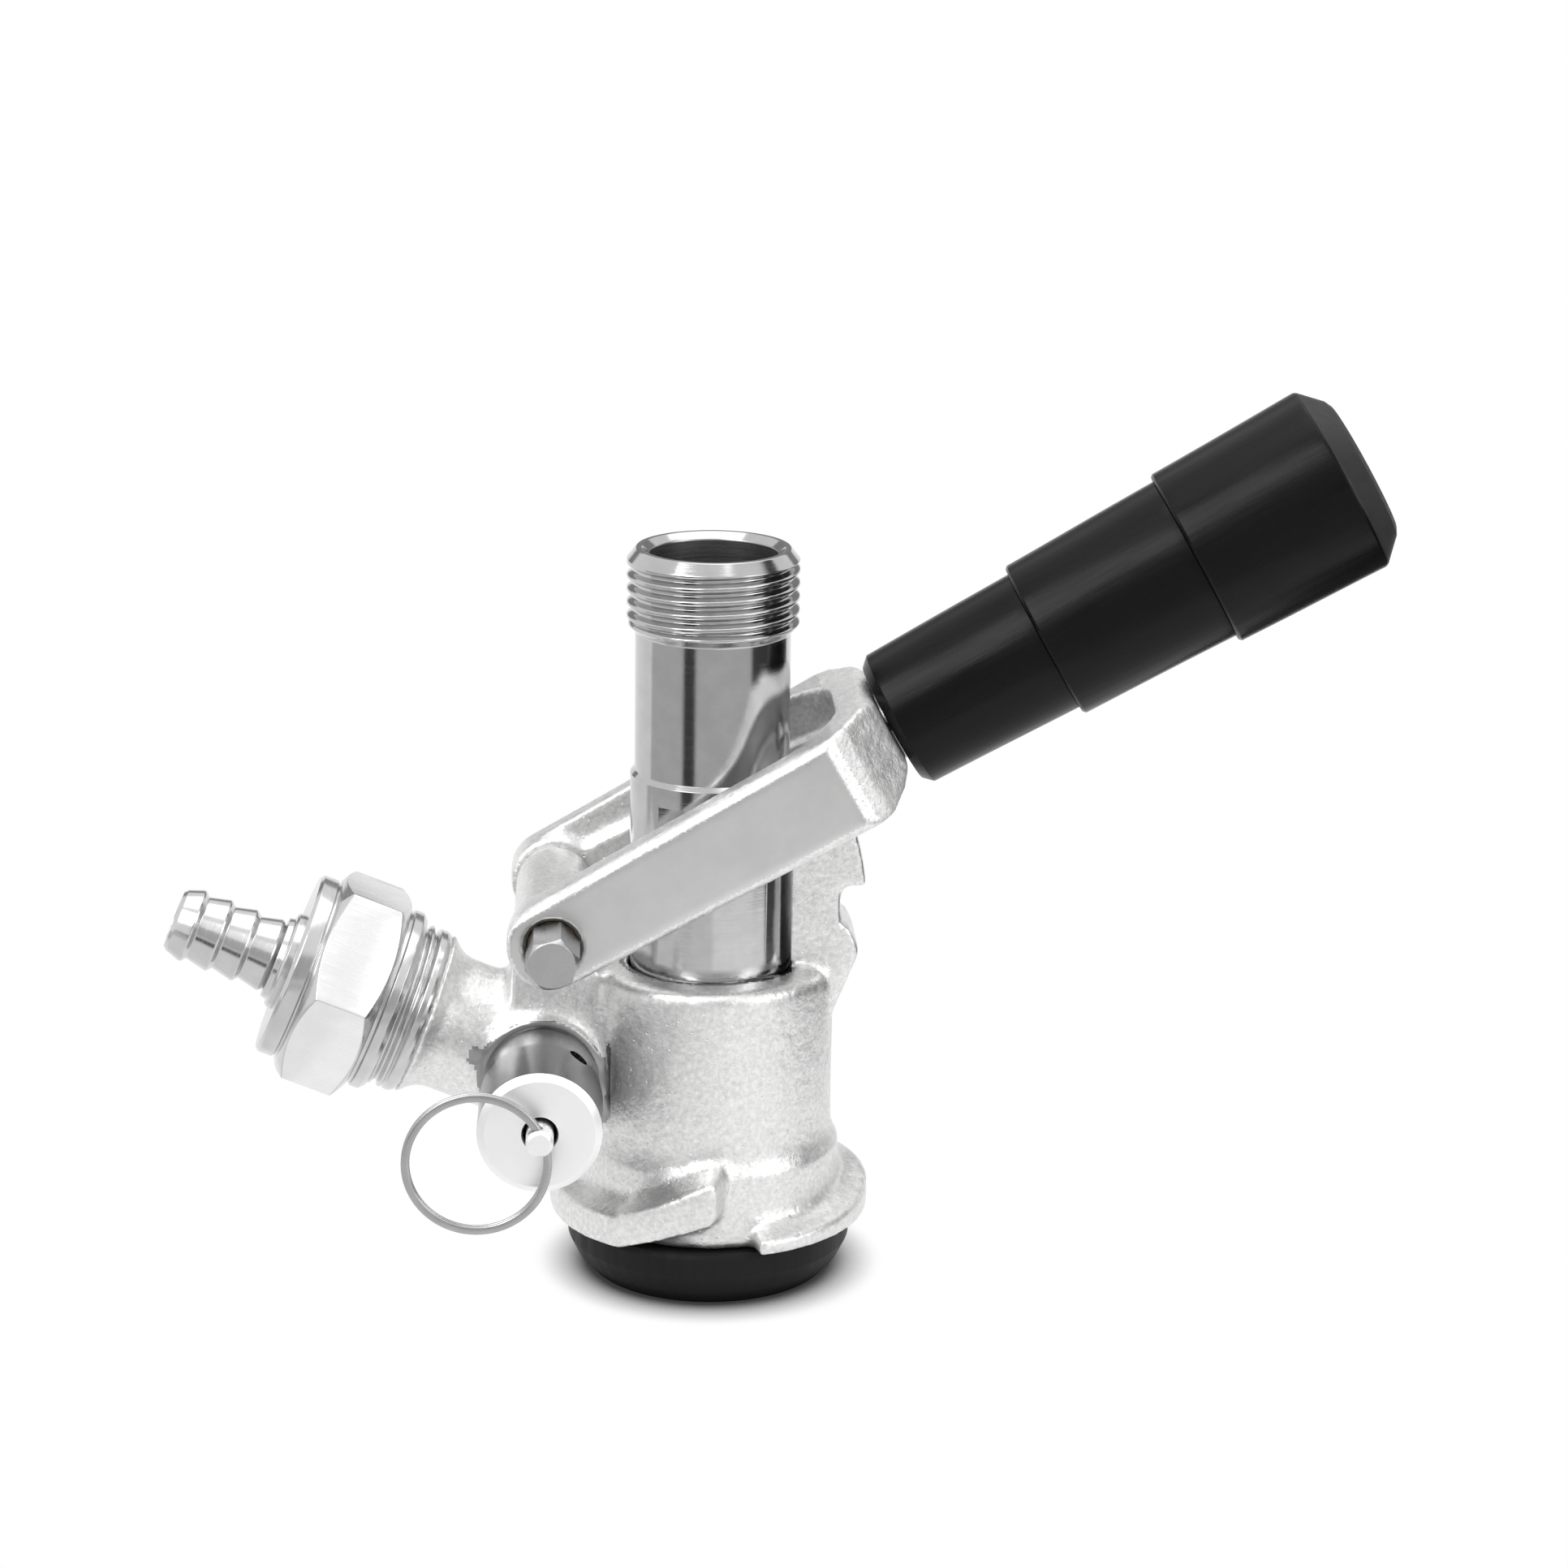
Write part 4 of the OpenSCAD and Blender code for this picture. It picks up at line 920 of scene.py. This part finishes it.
@dataclass
class CastBody(Casting):
    """The body casting, with its gas thread cut off as a piece of its own."""

    node: str = "body"
    name: str = "body_casting"
    voxel: float = 0.42
    fill_rounds: int = 56
    swell: float = 0.05
    thread_start: float = 42.3
    thread_end: float = 58.0
    thread_radii: Pair = (9.0, 14.0)
    rim: float = 43.9
    rim_width: float = 1.6
    bore: float = 11.01
    bore_from: float = 12.0
    seat_r: float = 14.2
    seat_top: float = 27.0
    boss_face: float = 9.5
    boss_r: float = 10.5

    def build(self, shop: Workshop) -> list[Piece]:
        """Builds the casting.

        Args:
            shop: what it is made with.

        Returns:
            Its piece.
        """
        obj = self.copy()
        (inner, outer), low, high = self.thread_radii, self.thread_start - 0.2, self.thread_end
        ring = lathe("Ring", [(inner, low), (outer, low), (outer, high), (inner, high)], True, 96)
        combine(obj, placed(ring, INLET))
        return self.finish(obj, Body.BASE, (shop.looks.cast, shop.looks.probe, shop.looks.relief))

    def loose(self, p: np.ndarray) -> np.ndarray:
        """Gives how far each point may move: the bores stay, and the boss face nearly."""
        r = np.hypot(p[:, 0], p[:, 1])
        free = np.ones(len(p))
        free[(r < self.bore + 0.6) & (p[:, 2] > self.bore_from)] = 0
        free[(r < self.seat_r) & (p[:, 2] < self.seat_top)] = 0
        free[self.on_boss_face(p)] = 0.1
        return free

    def on_boss_face(self, p: np.ndarray) -> np.ndarray:
        """Gives which points lie on the relief boss's flat end."""
        q = RELIEF.own(p)
        return (np.abs(q[:, 2] - self.boss_face) < 0.3) & (np.hypot(q[:, 0], q[:, 1]) < self.boss_r)

    def finish_of(self, p: np.ndarray) -> np.ndarray:
        """Gives the finish of each face: cast, bored or faced."""
        r = np.hypot(p[:, 0], p[:, 1])
        slots = np.zeros(len(p))
        slots[(r < self.bore + self.rim_width) & (p[:, 2] > self.rim - 1.5) & (p[:, 2] < self.rim + 0.2)] = 1
        slots[(r < self.bore + 0.3)] = 1
        slots[self.on_boss_face(p)] = 2
        return slots


@dataclass
class CastLever(Casting):
    """The forked lever, cast, with its sides ground flat."""

    node: str = "lever"
    name: str = "lever_fork"
    voxel: float = 0.36
    fill_rounds: int = 24
    swell: float = 0.03
    side: float = 18.1
    eye_r: float = 4.3
    stem_r: float = 5.4
    stem_from: float = 46.0
    yoke_from: float = 45.5
    yoke_side: float = 17.5

    def build(self, shop: Workshop) -> list[Piece]:
        """Builds the lever."""
        finishes = shop.looks.cast, shop.looks.ground, shop.looks.rough_cast
        return self.finish(self.copy(), Body.LEVER, finishes)

    def loose(self, p: np.ndarray) -> np.ndarray:
        """Gives how far each point may move: the bolts' and the stem's holes nearly stay."""
        q = HANDLE.own(p)
        free = np.ones(len(p))
        free[(np.hypot(q[:, 0], q[:, 2]) < self.eye_r) & (np.abs(q[:, 1]) < self.side + 0.1)] = 0.15
        free[(np.hypot(q[:, 0], q[:, 1]) < self.stem_r) & (q[:, 2] > self.stem_from)] = 0.15
        return free

    def finish_of(self, p: np.ndarray) -> np.ndarray:
        """Gives the finish of each face: cast, ground or rough."""
        q = HANDLE.own(p)
        slots = np.zeros(len(p))
        slots[np.abs(q[:, 1]) > self.side - 0.12] = 1
        slots[(q[:, 2] > self.yoke_from) & (np.abs(q[:, 1]) < self.yoke_side)] = 2
        return slots


@dataclass
class Probe(Part):
    """The sliding beer probe with its threaded top."""

    top: float = 100.8
    bottom: float = 5.0
    thread_end: float = 90.4
    crest: float = 11.5
    tube: float = 10.35
    step: float = 70.6
    slide: float = 10.95
    slide_from: float = 34.0
    bore: float = 8.55
    bore_end: float = 74.8
    way: float = 3.46
    seat_r: float = 4.85
    seat_h: float = 14.3
    nose: float = 8.5
    nose_end: float = 31.5
    tip_groove: Point = (7.2, 6.2, 10.4)
    grooves: tuple[Point, ...] = ((9.12, 37.7, 39.5), (9.12, 40.5, 42.3))
    grid: float = 0.06
    pitch: float = 1.814
    depth: float = 0.9
    flat: float = 8.2
    flat_z: float = 63.053
    flat_half: float = 4.27

    def outline(self) -> list[Pair]:
        """Returns the turned outline, with small roundings."""
        walls = (self.nose, self.tip_groove), *((self.slide, groove) for groove in self.grooves)
        cuts = [[(wall, low, 0), (r, low, 0), (r, high, 0), (wall, high, 0)]
                for wall, (r, low, high) in walls]
        seat = self.bottom + self.seat_h
        corners = [
            (self.way, seat, 0), (self.seat_r, seat, 0), (self.seat_r, self.bottom, 0),
            (self.nose - 0.9, self.bottom, 0.2), (self.nose, self.bottom + 0.9, 0.2), *cuts[0],
            (self.nose, self.nose_end, 0.3), (self.slide, self.slide_from, 0.3), *cuts[1], *cuts[2],
            (self.slide, self.step - 0.6, 0.12), (self.tube + 0.02, self.step, 0.08),
            (self.tube, self.thread_end - 0.9, 0.5), (self.crest - 0.25, self.thread_end, 0.25),
            (self.crest, self.thread_end + 0.4, 0.1),
            (self.crest, self.top - 1.55, 0.25), (self.crest - 1.25, self.top, 0.25),
            (self.bore + 1.0, self.top, 0.2), (self.bore, self.top - 0.9, 0.3),
            (self.bore, self.bore_end, 0), (self.way, self.bore_end, 0)]
        fine = round_corners(corners, True)
        return subdivide(fine + fine[:1], self.grid, self.thread_end - 0.2, self.top - 1.4)[:-1]

    def build(self, shop: Workshop) -> list[Piece]:
        """Builds the probe.

        Args:
            shop: what it is made with.

        Returns:
            Its piece.
        """
        looks = shop.looks
        mesh = lathe("probe_tube", self.outline(), True, FINE_SIDES)
        obj = new_object("probe_tube", mesh, [looks.probe, looks.wire])
        shop.threads.apply(obj, Start=self.thread_end, End=self.top - 1.5, Pitch=self.pitch,
                           Depth=self.depth, Least_Radius=self.tube + 0.6, Material=looks.probe)
        far = 12.0
        for side in (1, -1):
            size = (2 * far, far - self.flat, 2 * self.flat_half)
            combine(obj, block(size, (0, side * (far + self.flat) / 2, self.flat_z)))
        for face in obj.data.polygons:
            if math.hypot(*face.center[:2]) < self.bore + 0.1 and face.center.z > self.bore_end:
                face.material_index = 1
        placed(obj.data, UPRIGHT)
        return [Piece(smooth(obj, 42), Body.PROBE, Slot.BRIGHT, ("probe",))]


@dataclass
class GasInlet(Part):
    """The gas inlet's thread, union nut and barbed tailpiece."""

    thread_start: float = 42.3
    thread_end: float = 56.2
    thread_bore: float = 6.5
    grid: float = 0.07
    least_r: float = 9.0
    crest: float = 11.5
    pitch: float = 1.45
    depth: float = 0.8
    nut: Pair = (46.1, 61.6)
    nut_floor: float = 59.6
    round_r: float = 12.7
    flats: float = 27.0
    hexagon: Pair = (48.7, 58.7)
    chamfer: Pair = (3.6, 2.08)
    edge_width: float = 0.14
    roll: float = 6.0
    barb_first: float = 75.4
    barb_pitch: float = 3.7
    barb_r: float = 5.1
    root_r: float = 4.3
    barbs: int = 4
    way_r: float = 2.8
    tip: float = 78.0
    tip_r: float = 3.9
    hub_r: float = 6.7
    hub_end: float = 62.3
    collar_r: float = 5.8
    collar_end: float = 63.5
    flange: Point = (9.5, 57.6, 59.6)

    def thread(self, shop: Workshop) -> Piece:
        """Returns the threaded end of the inlet."""
        s, e, r = self.thread_start, self.thread_end, self.crest
        corners = [(self.thread_bore, s - 0.6, 0), (r - 0.8, s - 0.6, 0.1), (r - 0.15, s + 0.2, 0.3),
                   (r, s + 0.6, 0.2), (r, e - 0.5, 0.1), (r - 0.6, e, 0.1), (self.thread_bore, e, 0)]
        mesh = lathe("inlet_thread", subdivide(round_corners(corners, True), self.grid, s + 0.3, e), True,
                     FINE_SIDES)
        obj = new_object("inlet_thread", mesh, [shop.looks.inlet])
        shop.threads.apply(obj, Start=s + 1.2, End=e + 1.0, Pitch=self.pitch, Depth=self.depth,
                           Least_Radius=self.least_r, Material=shop.looks.inlet)
        placed(obj.data, INLET)
        return Piece(smooth(obj, 40), Body.BASE, Slot.BRIGHT)

    def union_nut(self, looks: Finishes) -> Piece:
        """Returns the union nut: hexagon, collar and flange."""
        (a, b), (low, high), (out, up), r = self.nut, self.hexagon, self.chamfer, self.round_r
        neck = self.flats / 2 * 0.955
        corners = [(0, a, 0), (r - 0.7, a, 0.3), (r, a + 0.7, 0.3), (r, a + 1.9, 0.15),
                   (r - 0.35, a + 2.1, 0.1), (r - 0.35, low, 0.05), (neck, low, 0.1),
                   (neck + out, low + up, 0), (neck + out, high - up, 0),
                   (neck, high, 0.1), (r - 0.3, high, 0.1), (r - 0.3, high + 0.3, 0.1), (r, high + 0.5, 0.1),
                   (r, b - 0.5, 0.3), (r - 0.5, b, 0.2), (0, b, 0)]
        mesh = lathe("union_nut", round_corners(corners, False), False, 192)
        obj = new_object("union_nut", mesh, [looks.inlet])
        turn = Matrix.Translation((0, 0, (a + b) / 2)) @ Matrix.Rotation(math.radians(self.roll), 4, "Z")
        combine(obj, prism(self.flats / math.sqrt(3), 40, 6, turn), "INTERSECT")
        wide, narrow, floor = self.crest + 0.03, self.hub_r + 0.03, self.nut_floor
        inner = [(0, a - 1), (wide, a - 1), (wide, floor), (narrow, floor), (narrow, b + 1), (0, b + 1)]
        combine(obj, lathe("Bore", inner, False, FINE_SIDES))
        bevel(obj, self.edge_width, 25)
        baked(obj)
        obj.data.materials.append(looks.flats)
        placed(obj.data, INLET)
        turned = INLET.matrix().inverted()
        for face in obj.data.polygons:
            n = turned.to_3x3() @ face.normal
            c = turned @ face.center
            if abs(n.normalized().z) < 0.02 and math.hypot(c.x, c.y) > self.round_r + 0.2:
                face.material_index = 1
        return Piece(smooth(obj, 30), Body.BASE, Slot.BRIGHT, ("gas_nut",))

    def tailpiece(self, looks: Finishes) -> Piece:
        """Returns the tailpiece with its barbs."""
        r, low, high = self.flange
        corners = [(self.way_r, self.tip, 0.1), (self.tip_r, self.tip, 0.2), (4.35, self.tip - 0.5, 0.2)]
        for i in range(self.barbs):
            w = self.barb_first - i * self.barb_pitch
            corners += [(self.barb_r, w, 0.2), (self.barb_r - 0.1, w - 0.25, 0.1),
                        (self.root_r + 0.1, w - 0.8, 0.3)]
        corners += [(self.root_r, self.collar_end + 0.1, 0.1), (self.collar_r - 0.2, self.collar_end, 0.15),
                    (self.collar_r, self.hub_end + 0.4, 0.15), (self.hub_r - 0.3, self.hub_end + 0.3, 0.1),
                    (self.hub_r, self.hub_end, 0.1), (self.hub_r, high, 0), (r, high, 0), (r, low, 0),
                    (self.way_r, low, 0)]
        mesh = lathe("hose_tailpiece", round_corners(corners, True), True, 128)
        obj = new_object("hose_tailpiece", placed(mesh, INLET), [looks.inlet])
        return Piece(smooth(obj, 40), Body.BASE, Slot.BRIGHT, ("tailpiece",))

    def build(self, shop: Workshop) -> list[Piece]:
        """Builds the gas inlet."""
        return [self.thread(shop), self.union_nut(shop.looks), self.tailpiece(shop.looks)]


@dataclass
class Grip(Part):
    """The stepped black pull grip."""

    start: float = 52.15
    lengths: Point = (23.0, 22.7, 21.9)
    radii: Point = (9.6, 11.2, 12.65)
    growth: float = 0.5
    end_length: float = 3.4
    face_r: float = 9.6
    bore: float = 5.07
    cavity: float = 7.3
    shoulder: float = 16.5
    waves: tuple[Point, ...] = ((0.04, 2, 0.05), (0.025, 5, -0.21))
    sink: float = 0.05

    def build(self, shop: Workshop) -> list[Piece]:
        """Builds the grip.

        Args:
            shop: what it is made with.

        Returns:
            Its piece.
        """
        u = self.start
        corners = [(self.bore, u, 0), (self.radii[0] - 1.2, u, 0.25), (self.radii[0], u + 1.25, 0.3)]
        for k, (length, r) in enumerate(zip(self.lengths, self.radii)):
            u += length
            last = k == 2
            corners.append((r + self.growth, u, 1.0 if last else 0.12))
            if not last:
                larger = self.radii[k + 1]
                corners += [(r + self.growth - 0.25, u + 0.02, 0.05), (larger - 0.35, u + 0.05, 0.1),
                            (larger, u + 0.4, 0.25)]
        end, floor = u + self.end_length, self.start + self.shoulder
        corners += [(self.face_r + 0.6, end - 0.5, 0.6), (self.face_r - 0.4, end, 0.3),
                    (self.cavity, end, 0), (self.cavity, floor, 0), (self.bore, floor, 0)]
        fine = round_corners(corners, True)
        mesh = lathe("stepped_grip", subdivide(fine + fine[:1], 1.2, self.start, end)[:-1], True, 128)
        self.wrinkle(mesh)
        obj = new_object("stepped_grip", mesh, [shop.looks.grip, shop.looks.grip_end_painted_light])
        # Faces on the grip's end take the lighter grip-end material: painted light on the end face.
        for face in mesh.polygons:
            if face.normal.z > 0.3 and face.center.z > end - self.end_length:
                face.material_index = 1
        placed(mesh, HANDLE)
        return [Piece(smooth(obj, 45), Body.GRIP, Slot.RUBBER, ("grip",))]

    def wrinkle(self, mesh: Mesh) -> None:
        """Makes the moulded wall very slightly uneven."""
        for v in mesh.vertices:
            r = math.hypot(v.co.x, v.co.y)
            if r > self.radii[0] - 1.5:
                a = math.atan2(v.co.y, v.co.x)
                wave = sum(h * math.sin(n * a + k * v.co.z) for h, n, k in self.waves)
                v.co.x *= 1 - (self.sink - wave) / r
                v.co.y *= 1 - (self.sink - wave) / r


@dataclass
class ReliefValve(Part):
    """The relief valve: housing with its faced cap, and split pull ring."""

    seat: float = 9.5
    end: float = 29.5
    cap_t: float = 1.9
    root_r: float = 7.6
    outer_r: float = 8.2
    inner_r: float = 6.0
    hole_r: float = 2.2
    vent_r: float = 1.4
    vent_bearing: float = 52.0
    vent_at: float = 17.9
    ring_y: float = 31.7
    ring_r: float = 9.2
    ring_shift: float = 8.75
    ring_bearing: float = -21.0
    wire_r: float = 0.56
    wire_flat: float = 0.5

    def housing(self, looks: Finishes) -> Piece:
        """Returns the housing, with its cap turned in one with it."""
        hole, end, seat, r, root = self.hole_r, self.end, self.seat, self.outer_r, self.root_r
        inner = end - self.cap_t
        corners = [(hole + 0.3, inner, 0), (hole + 0.3, end - 0.5, 0), (hole, end - 0.35, 0.05),
                   (hole + 0.25, end, 0.1), (r - 0.95, end, 0.12), (r, end - 0.8, 0.15),
                   (r, seat + 8, 0.5), (root + 0.1, seat + 0.9, 0.1), (root - 0.15, seat + 0.6, 0.1),
                   (root - 0.15, seat + 0.05, 0), (self.inner_r, seat + 0.05, 0), (self.inner_r, inner, 0)]
        mesh = lathe("relief_shell", round_corners(corners, True), True, FINE_SIDES)
        obj = new_object("relief_shell", mesh, [looks.relief])
        turn = (Matrix.Rotation(math.radians(self.vent_bearing), 4, "Z")
                @ Matrix.Translation((self.inner_r, 0, self.vent_at)) @ Matrix.Rotation(math.pi / 2, 4, "Y"))
        combine(obj, prism(self.vent_r, 2 * self.inner_r, 48, turn))
        obj.data.materials.append(looks.face)
        for face in obj.data.polygons:
            if face.normal.z > 0.6 and face.center.z > end - 1.0:
                face.material_index = 1
        placed(obj.data, RELIEF)
        return Piece(smooth(obj, 30), Body.BASE, Slot.BRIGHT, ("relief_housing", "relief_cap"))

    def ring(self, shop: Workshop) -> Piece:
        """Returns the split pull ring, two turns of wire."""
        obj = new_object("pull_ring", bpy.data.meshes.new("pull_ring"), [])
        shop.coils.apply(obj, Radius=self.ring_r, Wire_Radius=self.wire_r, Turns=2.0, Length=self.wire_r * 4,
                         Steps=160, Material=shop.looks.wire)
        swing = Matrix.Rotation(math.radians(180 - self.ring_bearing), 4, "Z")
        lay = Matrix.Translation((self.ring_shift, 0, self.ring_y)) @ Matrix.Rotation(math.pi, 4, "Z")
        flat = Matrix.Diagonal((1, 1, self.wire_flat, 1)) @ Matrix.Translation((0, 0, -self.wire_r * 2))
        obj.data.transform(swing @ lay @ flat)
        placed(obj.data, RELIEF)
        return Piece(smooth(obj, 60), Body.RING, Slot.BRIGHT, ("relief_ring",))

    def build(self, shop: Workshop) -> list[Piece]:
        """Builds the valve."""
        return [self.housing(shop.looks), self.ring(shop)]


@dataclass
class BottomSeal(Part):
    """The rubber seal that the coupler stands on."""

    hole: float = 12.0
    foot: float = 16.2
    side: float = 19.35
    top: float = 8.0
    neck: float = 14.6
    neck_h: float = 4.0

    def build(self, shop: Workshop) -> list[Piece]:
        """Builds the seal.

        Args:
            shop: what it is made with.

        Returns:
            Its piece.
        """
        up = self.top + self.neck_h
        corners = [(self.hole, 0, 0.3), (self.foot, 0, 0.4), (self.foot + 1.9, 2.1, 1.5),
                   (self.side - 0.15, 4.3, 0.3), (self.side, 4.7, 0.15), (self.side, 7.3, 0.3),
                   (self.side - 0.4, self.top, 0.2),
                   (self.neck, self.top, 0), (self.neck, up, 0.2), (self.hole, up, 0.3)]
        mesh = placed(lathe("foot_seal", round_corners(corners, True), True, FINE_SIDES), UPRIGHT)
        obj = smooth(new_object("foot_seal", mesh, [shop.looks.seal]), 35)
        return [Piece(obj, Body.BASE, Slot.RUBBER, ("bottom_seal",))]


class CarriedNodes:
    """CAD nodes that stay, with a better finish and rounded edges."""

    BEVELS = {"pivot_bolts": 0.18, "relief_stem": 0.12, "stem_nut": 0.15, "lock_plunger": 0.1}

    def dress(self, looks: Finishes) -> None:
        """Gives each kept node its finish.

        Args:
            looks: the finishes.
        """
        kept = (
            (looks.hex, "pivot_bolts stem_nut"), (looks.brass, "pivot_bushings"),
            # The grip plug takes the same lighter grip-end material: painted light.
            (looks.grip_end_painted_light, "grip_plug"),
            (looks.wire, "handle_stem lock_plunger plunger_spring pull_rod grip_spring relief_spring"),
            (looks.seal, "tail_washer gas_check relief_seal probe_orings probe_tip_seal"),
            (looks.face, "relief_stem"), (looks.ball, "check_ball"), (looks.probe, "ball_retainer"))
        for material, names in kept:
            for name in names.split():
                node = frame["nodes"][name]
                node.data.materials.clear()
                node.data.materials.append(material)
                node.modifiers.new("Merge", "WELD").merge_threshold = TINY
                if name in self.BEVELS:
                    bevel(node, self.BEVELS[name] * MM, 30)
                LOG.info("%s keeps its solid", name)


@dataclass(frozen=True)
class Lamp:
    """A soft square lamp that points at the coupler: its place and widths in metres, its power in watts."""

    name: str
    at: Point
    size: Pair
    power: float
    AIM = (0, 0, 0.05)

    def add(self) -> None:
        """Adds the lamp."""
        data = bpy.data.lights.new(self.name, "AREA")
        data.shape, data.energy = "RECTANGLE", self.power
        data.size, data.size_y = self.size
        obj = bpy.data.objects.new(self.name, data)
        obj.location = self.at
        obj.rotation_euler = (Vector(self.AIM) - Vector(self.at)).to_track_quat("-Z", "Y").to_euler()
        bpy.context.scene.collection.objects.link(obj)


@dataclass(frozen=True)
class Card:
    """A card of even brightness round the coupler that only reflections see.

    Its bearings are in degrees to the right of the camera, its radii and heights in metres.
    """

    name: str
    bearings: Pair
    radii: Pair
    heights: Pair
    shade: float
    LEVEL_COUNT = 24
    UPRIGHT_COUNT = 16

    def add(self, heading: float) -> None:
        """Adds the card.

        Args:
            heading: the camera's own heading, in degrees.
        """
        count = self.LEVEL_COUNT if self.heights[0] == self.heights[1] else self.UPRIGHT_COUNT
        turns = np.radians(np.linspace(*self.bearings, count) - 90 - heading)
        points = [(math.cos(t) * r, math.sin(t) * r, h)
                  for r, h in zip(self.radii, self.heights) for t in turns]
        faces = [(k, k + 1, count + k + 1, count + k) for k in range(count - 1)]
        mesh = bpy.data.meshes.new(self.name)
        mesh.from_pydata(points, [], faces)
        s = Shader(self.name, Base_Color=(0, 0, 0, 1), Specular_IOR_Level=0.0,
                   Emission_Color=(*grey(self.shade), 1), Emission_Strength=1.0)
        obj = new_object(self.name, mesh, [s.material])
        obj.visible_camera = obj.visible_diffuse = obj.visible_shadow = obj.visible_transmission = False


@dataclass
class Studio:
    """Floor, lamps, reflected cards and the camera."""

    camera_at: Point = (-15.70, -521.30, 217.06)
    heading: float = 2.79
    pitch: float = 15.92
    roll: float = 0.778
    lens: float = 92.73
    sensor: float = 36
    clip: Pair = (0.01, 10)
    # Reach of the floor's painted contact shadow, in metres.
    painted_shadow_reach: float = 0.007
    lamps: tuple[Lamp, ...] = (
        Lamp("Key", (-0.45, -0.45, 0.62), (0.5, 0.5), 3.0),
        Lamp("Fill", (0.6, -0.35, 0.35), (0.4, 0.5), 1.4),
        Lamp("Top", (0.05, 0.1, 0.8), (0.7, 0.7), 2.0))
    cards: tuple[Card, ...] = (
        Card("Table left", (-100, 4), (0.07, 0.21), (0.0006, 0.0006), 0.88),
        Card("Table right", (4, 100), (0.07, 0.21), (0.0007, 0.0007), 1.12),
        Card("Table far", (-100, 100), (0.21, 1.2), (0.0008, 0.0008), 0.62),
        Card("Dark streak", (-42, -24), (0.20, 1.2), (0.0012, 0.0012), 0.06),
        Card("Dark right", (60, 140), (0.20, 1.2), (0.0014, 0.0014), 0.06),
        Card("Dark right near", (82, 140), (0.13, 0.20), (0.0014, 0.0014), 0.08),
        Card("Back", (140, 220), (0.9, 0.9), (0.20, 0.55), 0.30),
        Card("Right wing", (66, 112), (0.8, 0.8), (0.02, 0.9), 0.08),
        Card("Front low", (-30, 24), (0.8, 0.8), (0.05, 0.5), 0.5))

    def camera(self) -> None:
        """Adds the camera at the photograph's view."""
        p, r, s = (math.radians(a) for a in (self.pitch, self.roll, self.heading))
        forward = Vector((0, math.cos(p), -math.sin(p)))
        right = Vector((1, 0, 0))
        up = Vector((0, math.sin(p), math.cos(p)))
        turn = Matrix.Rotation(-s, 3, "Z")
        x = turn @ (right * math.cos(r) + up * math.sin(r))
        y = turn @ (up * math.cos(r) - right * math.sin(r))
        data = bpy.data.cameras.new("Camera")
        data.lens, data.sensor_width = self.lens, self.sensor
        data.clip_start, data.clip_end = self.clip
        cam = bpy.data.objects.new("Camera", data)
        cols = (x, y, turn @ -forward, [a * MM for a in self.camera_at])
        cam.matrix_world = Matrix([[c[i] for c in cols] for i in range(3)] + [[0, 0, 0, 1]])
        bpy.context.scene.collection.objects.link(cam)
        bpy.context.scene.camera = cam

    def floor(self) -> None:
        """Adds the plain white floor, with a painted contact shadow where the coupler stands on it."""
        bm = bmesh.new()
        bmesh.ops.create_grid(bm, x_segments=1, y_segments=1, size=3)
        mesh = to_mesh(bm, "Floor")
        s = Shader("Floor", Base_Color=(*grey(0.93), 1), Roughness=0.9, Specular_IOR_Level=0.0)
        # Painted shadow: camera and mirror rays see a white glow, darkened by ambient occlusion where the
        # coupler stands.
        shade = s.add("ShaderNodeAmbientOcclusion", samples=16, Distance=self.painted_shadow_reach)
        white = s.add("ShaderNodeEmission")
        s.link(s.remap(shade, "AO", (0.30, 0.90), (0.04, 1.0)), "Result", white, "Color")
        mix = s.add("ShaderNodeMixShader")
        s.link(self.seen(s), 0, mix, 0)
        s.link(s.surface, "BSDF", mix, 1)
        s.link(white, "Emission", mix, 2)
        s.link(mix, 0, s.out, "Surface")
        new_object("Floor", mesh, [s.material])

    def seen(self, graph: Graph) -> Node:
        """Adds the test for camera and mirror rays.

        Args:
            graph: the tree it is added to.

        Returns:
            The node whose output is 1 for them.
        """
        path = graph.add("ShaderNodeLightPath")
        either = graph.add("ShaderNodeMath", operation="MAXIMUM")
        graph.link(path, "Is Camera Ray", either, 0)
        graph.link(path, "Is Glossy Ray", either, 1)
        return either

    def world(self) -> None:
        """Adds the white surroundings."""
        world = bpy.data.worlds.new("Studio")
        bpy.context.scene.world = world
        world.use_nodes = True
        graph = Graph(world.node_tree)
        dim = graph.add("ShaderNodeBackground", Color=(1, 1, 1, 1), Strength=0.45)
        white = graph.add("ShaderNodeBackground", Color=(1, 1, 1, 1), Strength=1.0)
        mix, out = graph.add("ShaderNodeMixShader"), graph.add("ShaderNodeOutputWorld")
        graph.link(self.seen(graph), 0, mix, 0)
        graph.link(dim, 0, mix, 1)
        graph.link(white, 0, mix, 2)
        graph.link(mix, 0, out, "Surface")

    def build(self) -> None:
        """Sets up the whole studio."""
        bpy.context.scene.view_settings.view_transform = "Standard"
        self.camera()
        self.floor()
        self.world()
        for lamp in self.lamps:
            lamp.add()
        for card in self.cards:
            card.add(self.heading)


def main() -> None:
    """Builds the coupler's looks and the studio."""
    logging.basicConfig(level=logging.INFO, format="%(name)s: %(message)s")
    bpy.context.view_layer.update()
    Studio().build()
    shop = Workshop(Finishes(), ThreadTree(), CoilTree())
    parts = CastBody(), CastLever(), Probe(), GasInlet(), Grip(), ReliefValve(), BottomSeal()
    pieces = [piece for part in parts for piece in part.build(shop)]
    for piece in pieces:
        piece.settle()
    CarriedNodes().dress(shop.looks)
    bpy.context.view_layer.update()


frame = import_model()

if __name__ == "__main__":
    main()
